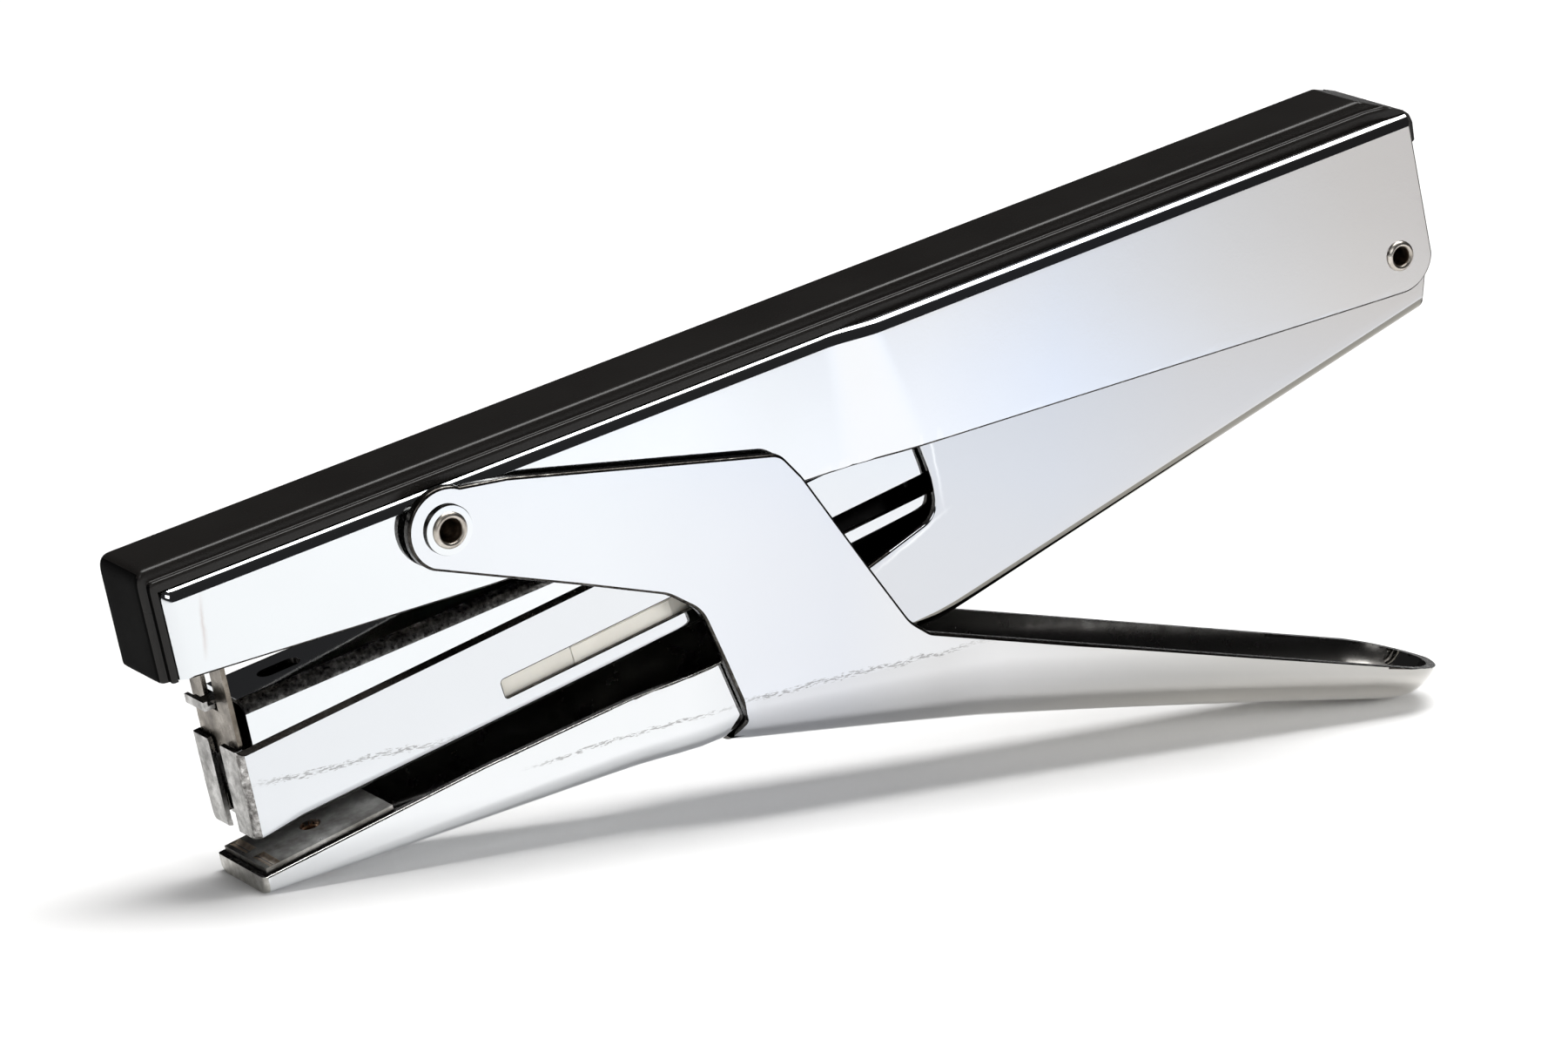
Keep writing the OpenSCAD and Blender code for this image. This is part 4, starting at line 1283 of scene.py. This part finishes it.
def bore_mat(o, x, z, r):
    for f in o.data.polygons:
        v = f.center
        if math.hypot(v.x - x, v.z - z) < r and abs(f.normal.y) < .5:
            f.material_index = 1


lr = two_sided("lever_rivet_tube", rolled(2.1, 1.6, 11.0, 11.55, 2.55, .5), px, pz)
bore_mat(lr, px, pz, 1.72)
shade(lr, 50)
done(lr, ["lever_rivet"], "nickel_steel", [M["nickel_steel"], M["bore"]])
rr_ = two_sided("rear_rivet_tube", rolled(1.9, 1.3, 9.82, 10.4, 2.2, .5), 0, 0)
bore_mat(rr_, 0, 0, 1.42)
shade(rr_, 50)
done(rr_, ["rear_rivet"], "nickel_steel", [M["nickel_steel"], M["bore"]])


def washer(nodes, name, x, z, ri, ro, y0, y1, slotname, e=.12):
    p = [(ri, y0 + .02), (ro - e, y0), (ro, y0 + e), (ro, y1 - e), (ro - e * .3, y1 - e * .3), (ro - e, y1), (ri + e, y1), (ri, y1 - e)]
    a = lathe_y(name, p, x, z, 72, -1)
    b = lathe_y("t", p, x, z, 72, 1)
    bm = bmesh.new()
    bm.from_mesh(a.data)
    bm.from_mesh(b.data)
    bmesh.ops.recalc_face_normals(bm, faces=bm.faces)
    bm.to_mesh(a.data)
    bm.free()
    bpy.data.objects.remove(b, do_unlink=True)
    # painted shade: the outer rim gets the dark cut-edge chrome
    for f in a.data.polygons:
        if math.hypot(f.center.x - x, f.center.z - z) > ro - e * 1.05 and abs(f.normal.y) < .9:
            f.material_index = 1
    shade(a, 35)
    return done(a, nodes, slotname, [M[slotname], M["cut"]])


washer(["lever_washers"], "lever_washer_pair", px, pz, 2.12, 3.5, 10.45, 11.0, "chrome_sheet", .14)
washer(["lever_spacers"], "lever_spacer_pair", px, pz, 2.12, 3.6, 8.22, 8.95, "nickel_steel")
washer(["rear_washers"], "rear_washer_pair", 0, 0, 1.92, 3.6, 7.25, 7.7, "nickel_steel")
bush = lathe_y("rear_bush_turned", [(1.92, -5.6), (2.7, -5.6), (2.9, -5.4), (2.9, 5.4), (2.7, 5.6), (1.92, 5.6)], 0, 0, 64)
shade(bush, 40)
done(bush, ["rear_bush"], "nickel_steel")
# copper eyelet in the anvil
ey = cyl_axis("anvil_eyelet", (-179.5, 0, -27.4), (-179.5, 0, 0),
              [(.95, 0.1), (1.5, 0.1), (1.5, 1.2), (2.25, 1.25), (2.4, 1.4), (2.4, 3.0), (2.3, 3.2), (1.5, 3.25), (1.5, 4.45), (1.42, 4.62), (1.2, 4.72), (1.0, 4.6), (.95, 4.4)], 56)
shade(ey, 40)
done(ey, ["anvil_rivet"], "copper_rivet")

# ------------------------------------------------------------------ staples, one by one
bm = bmesh.new()
pitch, n_st = .70, 51
for k in range(n_st):
    x0 = -187.6 + k * pitch
    w = .62
    o_ = [(-6.4, -3.4), (-6.4, 1.9), (-6.28, 2.18), (-6.0, 2.3), (6.0, 2.3), (6.28, 2.18), (6.4, 1.9), (6.4, -3.4)]
    i_ = [(-5.9, -3.4), (-5.9, 1.72), (-5.86, 1.79), (-5.78, 1.82), (5.78, 1.82), (5.86, 1.79), (5.9, 1.72), (5.9, -3.4)]
    loopp = o_ + i_[::-1]
    vs = []
    for xx in (x0, x0 + w):
        vs.append([bm.verts.new(MAGM @ Vector((xx, y, z))) for y, z in loopp])
    nn = len(loopp)
    for j in range(nn):
        l = (j + 1) % nn
        bm.faces.new((vs[0][j], vs[1][j], vs[1][l], vs[0][l]))
    m8 = len(o_)
    for side in (0, 1):
        for j in range(m8 - 1):
            a, b2 = vs[side][j], vs[side][j + 1]
            c, d2 = vs[side][nn - 2 - j], vs[side][nn - 1 - j]
            bm.faces.new((a, b2, c, d2) if side else (d2, c, b2, a))
bmesh.ops.recalc_face_normals(bm, faces=bm.faces)
me = bpy.data.meshes.new("staples")
bm.to_mesh(me)
bm.free()
stp = link(bpy.data.objects.new("staples", me))
shade(stp, 30)
done(stp, ["staple_strip"], "staple_wire")

# ------------------------------------------------------------------ pusher spring, round wire with closed end turns
turns, L0 = 22, 85.7
seg = 18
npt = turns * seg
pts = []
for i in range(npt + 1):
    u = i / npt
    a = 2 * math.pi * turns * u
    # end turns lie closer together
    s = u - .018 * math.sin(2 * math.pi * u)
    pts.append(Vector((L0 * s, 1.62 * math.cos(a), 1.62 * math.sin(a))))
secs = []
for i, p in enumerate(pts):
    t = (pts[min(i + 1, npt)] - pts[max(i - 1, 0)]).normalized()
    a = 2 * math.pi * turns * i / npt
    rad = Vector((0, math.cos(a), math.sin(a)))
    bn = t.cross(rad).normalized()
    secs.append([tuple(MAGM @ (p + Vector((-131.2, 0, -1)) + (rad * math.cos(q) + bn * math.sin(q)) * .3))
                 for q in [2 * math.pi * k / 8 for k in range(8)]])
spr = loft("pusher_coil_spring", secs)
shade(spr, 60)
# it is pressed together between the pusher and the bracket
done(spr, ["pusher_spring"], "spring_steel", bend=("pusher", "magazine", P(*(MAGM @ Vector((-131.2, 0, -1)))), P(*(MAGM @ Vector((-131.2 + L0, 0, -1))))))

# ------------------------------------------------------------------ floor, light, world
bm = bmesh.new()
S = 9.0
vs = [bm.verts.new((x, y, 0)) for x, y in ((-S, -S), (S, -S), (S, S), (-S, S))]
bm.faces.new(vs)
me = bpy.data.meshes.new("floor")
bm.to_mesh(me)
bm.free()
floor = link(bpy.data.objects.new("floor", me))
fm, nt, b, tc = new_mat("floor_paper_painted_falloff")
# painted light falloff: the paper's colour is paler behind and beside the object and falls off gently towards the front
# right
sx = nt.nodes.new("ShaderNodeSeparateXYZ")
nt.links.new(tc.outputs["Object"], sx.inputs[0])
s_ax = math_n(nt, "ADD", math_n(nt, "MULTIPLY", sx.outputs[0], .804), math_n(nt, "MULTIPLY", sx.outputs[1], -.594))
painted_falloff = nt.nodes.new("ShaderNodeMapRange")
painted_falloff.interpolation_type = "SMOOTHSTEP"
painted_falloff.inputs["From Min"].default_value = .11
painted_falloff.inputs["From Max"].default_value = .50
nt.links.new(s_ax, painted_falloff.inputs["Value"])
nt.links.new(ramp(nt, painted_falloff.outputs["Result"], [(0, (.93, .93, .93)), (.12, (.88, .90, .93)), (.35, (.80, .82, .855)), (.65, (.73, .725, .72)), (1, (.62, .61, .60))]), b.inputs["Base Color"])
b.inputs["Roughness"].default_value = .9
b.inputs["Specular IOR Level"].default_value = .1
nt.links.new(bump(nt, noise(nt, tc, 300, 3, .5), .00002), b.inputs["Normal"])
floor.data.materials.append(fm)

w = bpy.data.worlds.new("studio")
bpy.context.scene.world = w
w.use_nodes = True
nt = w.node_tree
nt.nodes.clear()
out = nt.nodes.new("ShaderNodeOutputWorld")
bg = nt.nodes.new("ShaderNodeBackground")
tc = nt.nodes.new("ShaderNodeTexCoord")
sp_ = nt.nodes.new("ShaderNodeSeparateXYZ")
nt.links.new(tc.outputs["Generated"], sp_.inputs[0])
# pale at the horizon, then a dim room, with one large soft light overhead that leans to the back
dt = nt.nodes.new("ShaderNodeVectorMath")
dt.operation = "DOT_PRODUCT"
nt.links.new(tc.outputs["Generated"], dt.inputs[0])
dt.inputs[1].default_value = Vector((.226, .066, .971)).normalized()
SOFT = ramp(nt, dt.outputs["Value"], [(0, (.022, .022, .023)), (.925, (.024, .024, .025)), (.948, (1, 1, 1)), (1, (1, 1, 1))])
LOW = ramp(nt, mapr(nt, sp_.outputs[2], 0, 1, -1, 1), [(0, (.8, .8, .8)), (.503, (.8, .8, .81)), (.512, (0, 0, 0)), (1, (0, 0, 0))])
ad = nt.nodes.new("ShaderNodeVectorMath")
ad.operation = "ADD"
nt.links.new(SOFT, ad.inputs[0])
nt.links.new(LOW, ad.inputs[1])
ZR = ad.outputs[0]
nt.links.new(ZR, bg.inputs[0])
bg.inputs[1].default_value = 1.0
nt.links.new(bg.outputs[0], out.inputs[0])


def area(name, pos, look, size, power, col=(1, 1, 1), sy=None):
    l = bpy.data.lights.new(name, "AREA")
    l.shape = "RECTANGLE"
    l.size = size
    l.size_y = sy or size
    l.energy = power
    l.color = col
    o = link(bpy.data.objects.new(name, l))
    o.location = pos
    o.rotation_euler = (Vector(look) - Vector(pos)).to_track_quat("-Z", "Y").to_euler()
    return o


area("key_top", (.33, .12, 1.6), (.33, .12, 0), 1.5, 33.5, (1, .995, .985), .97)
fill = area("fill_low", (.35, -1.3, .45), (.0, -.05, 0), 1.2, 13, (1, 1, 1), .5)
fill.visible_glossy = False
area("front_left", (-1.3, -1.4, 1.1), (0, 0, .05), .9, 6, (1, 1, 1))

vs_ = bpy.context.scene.view_settings
vs_.view_transform = "Standard"
vs_.look = "None"
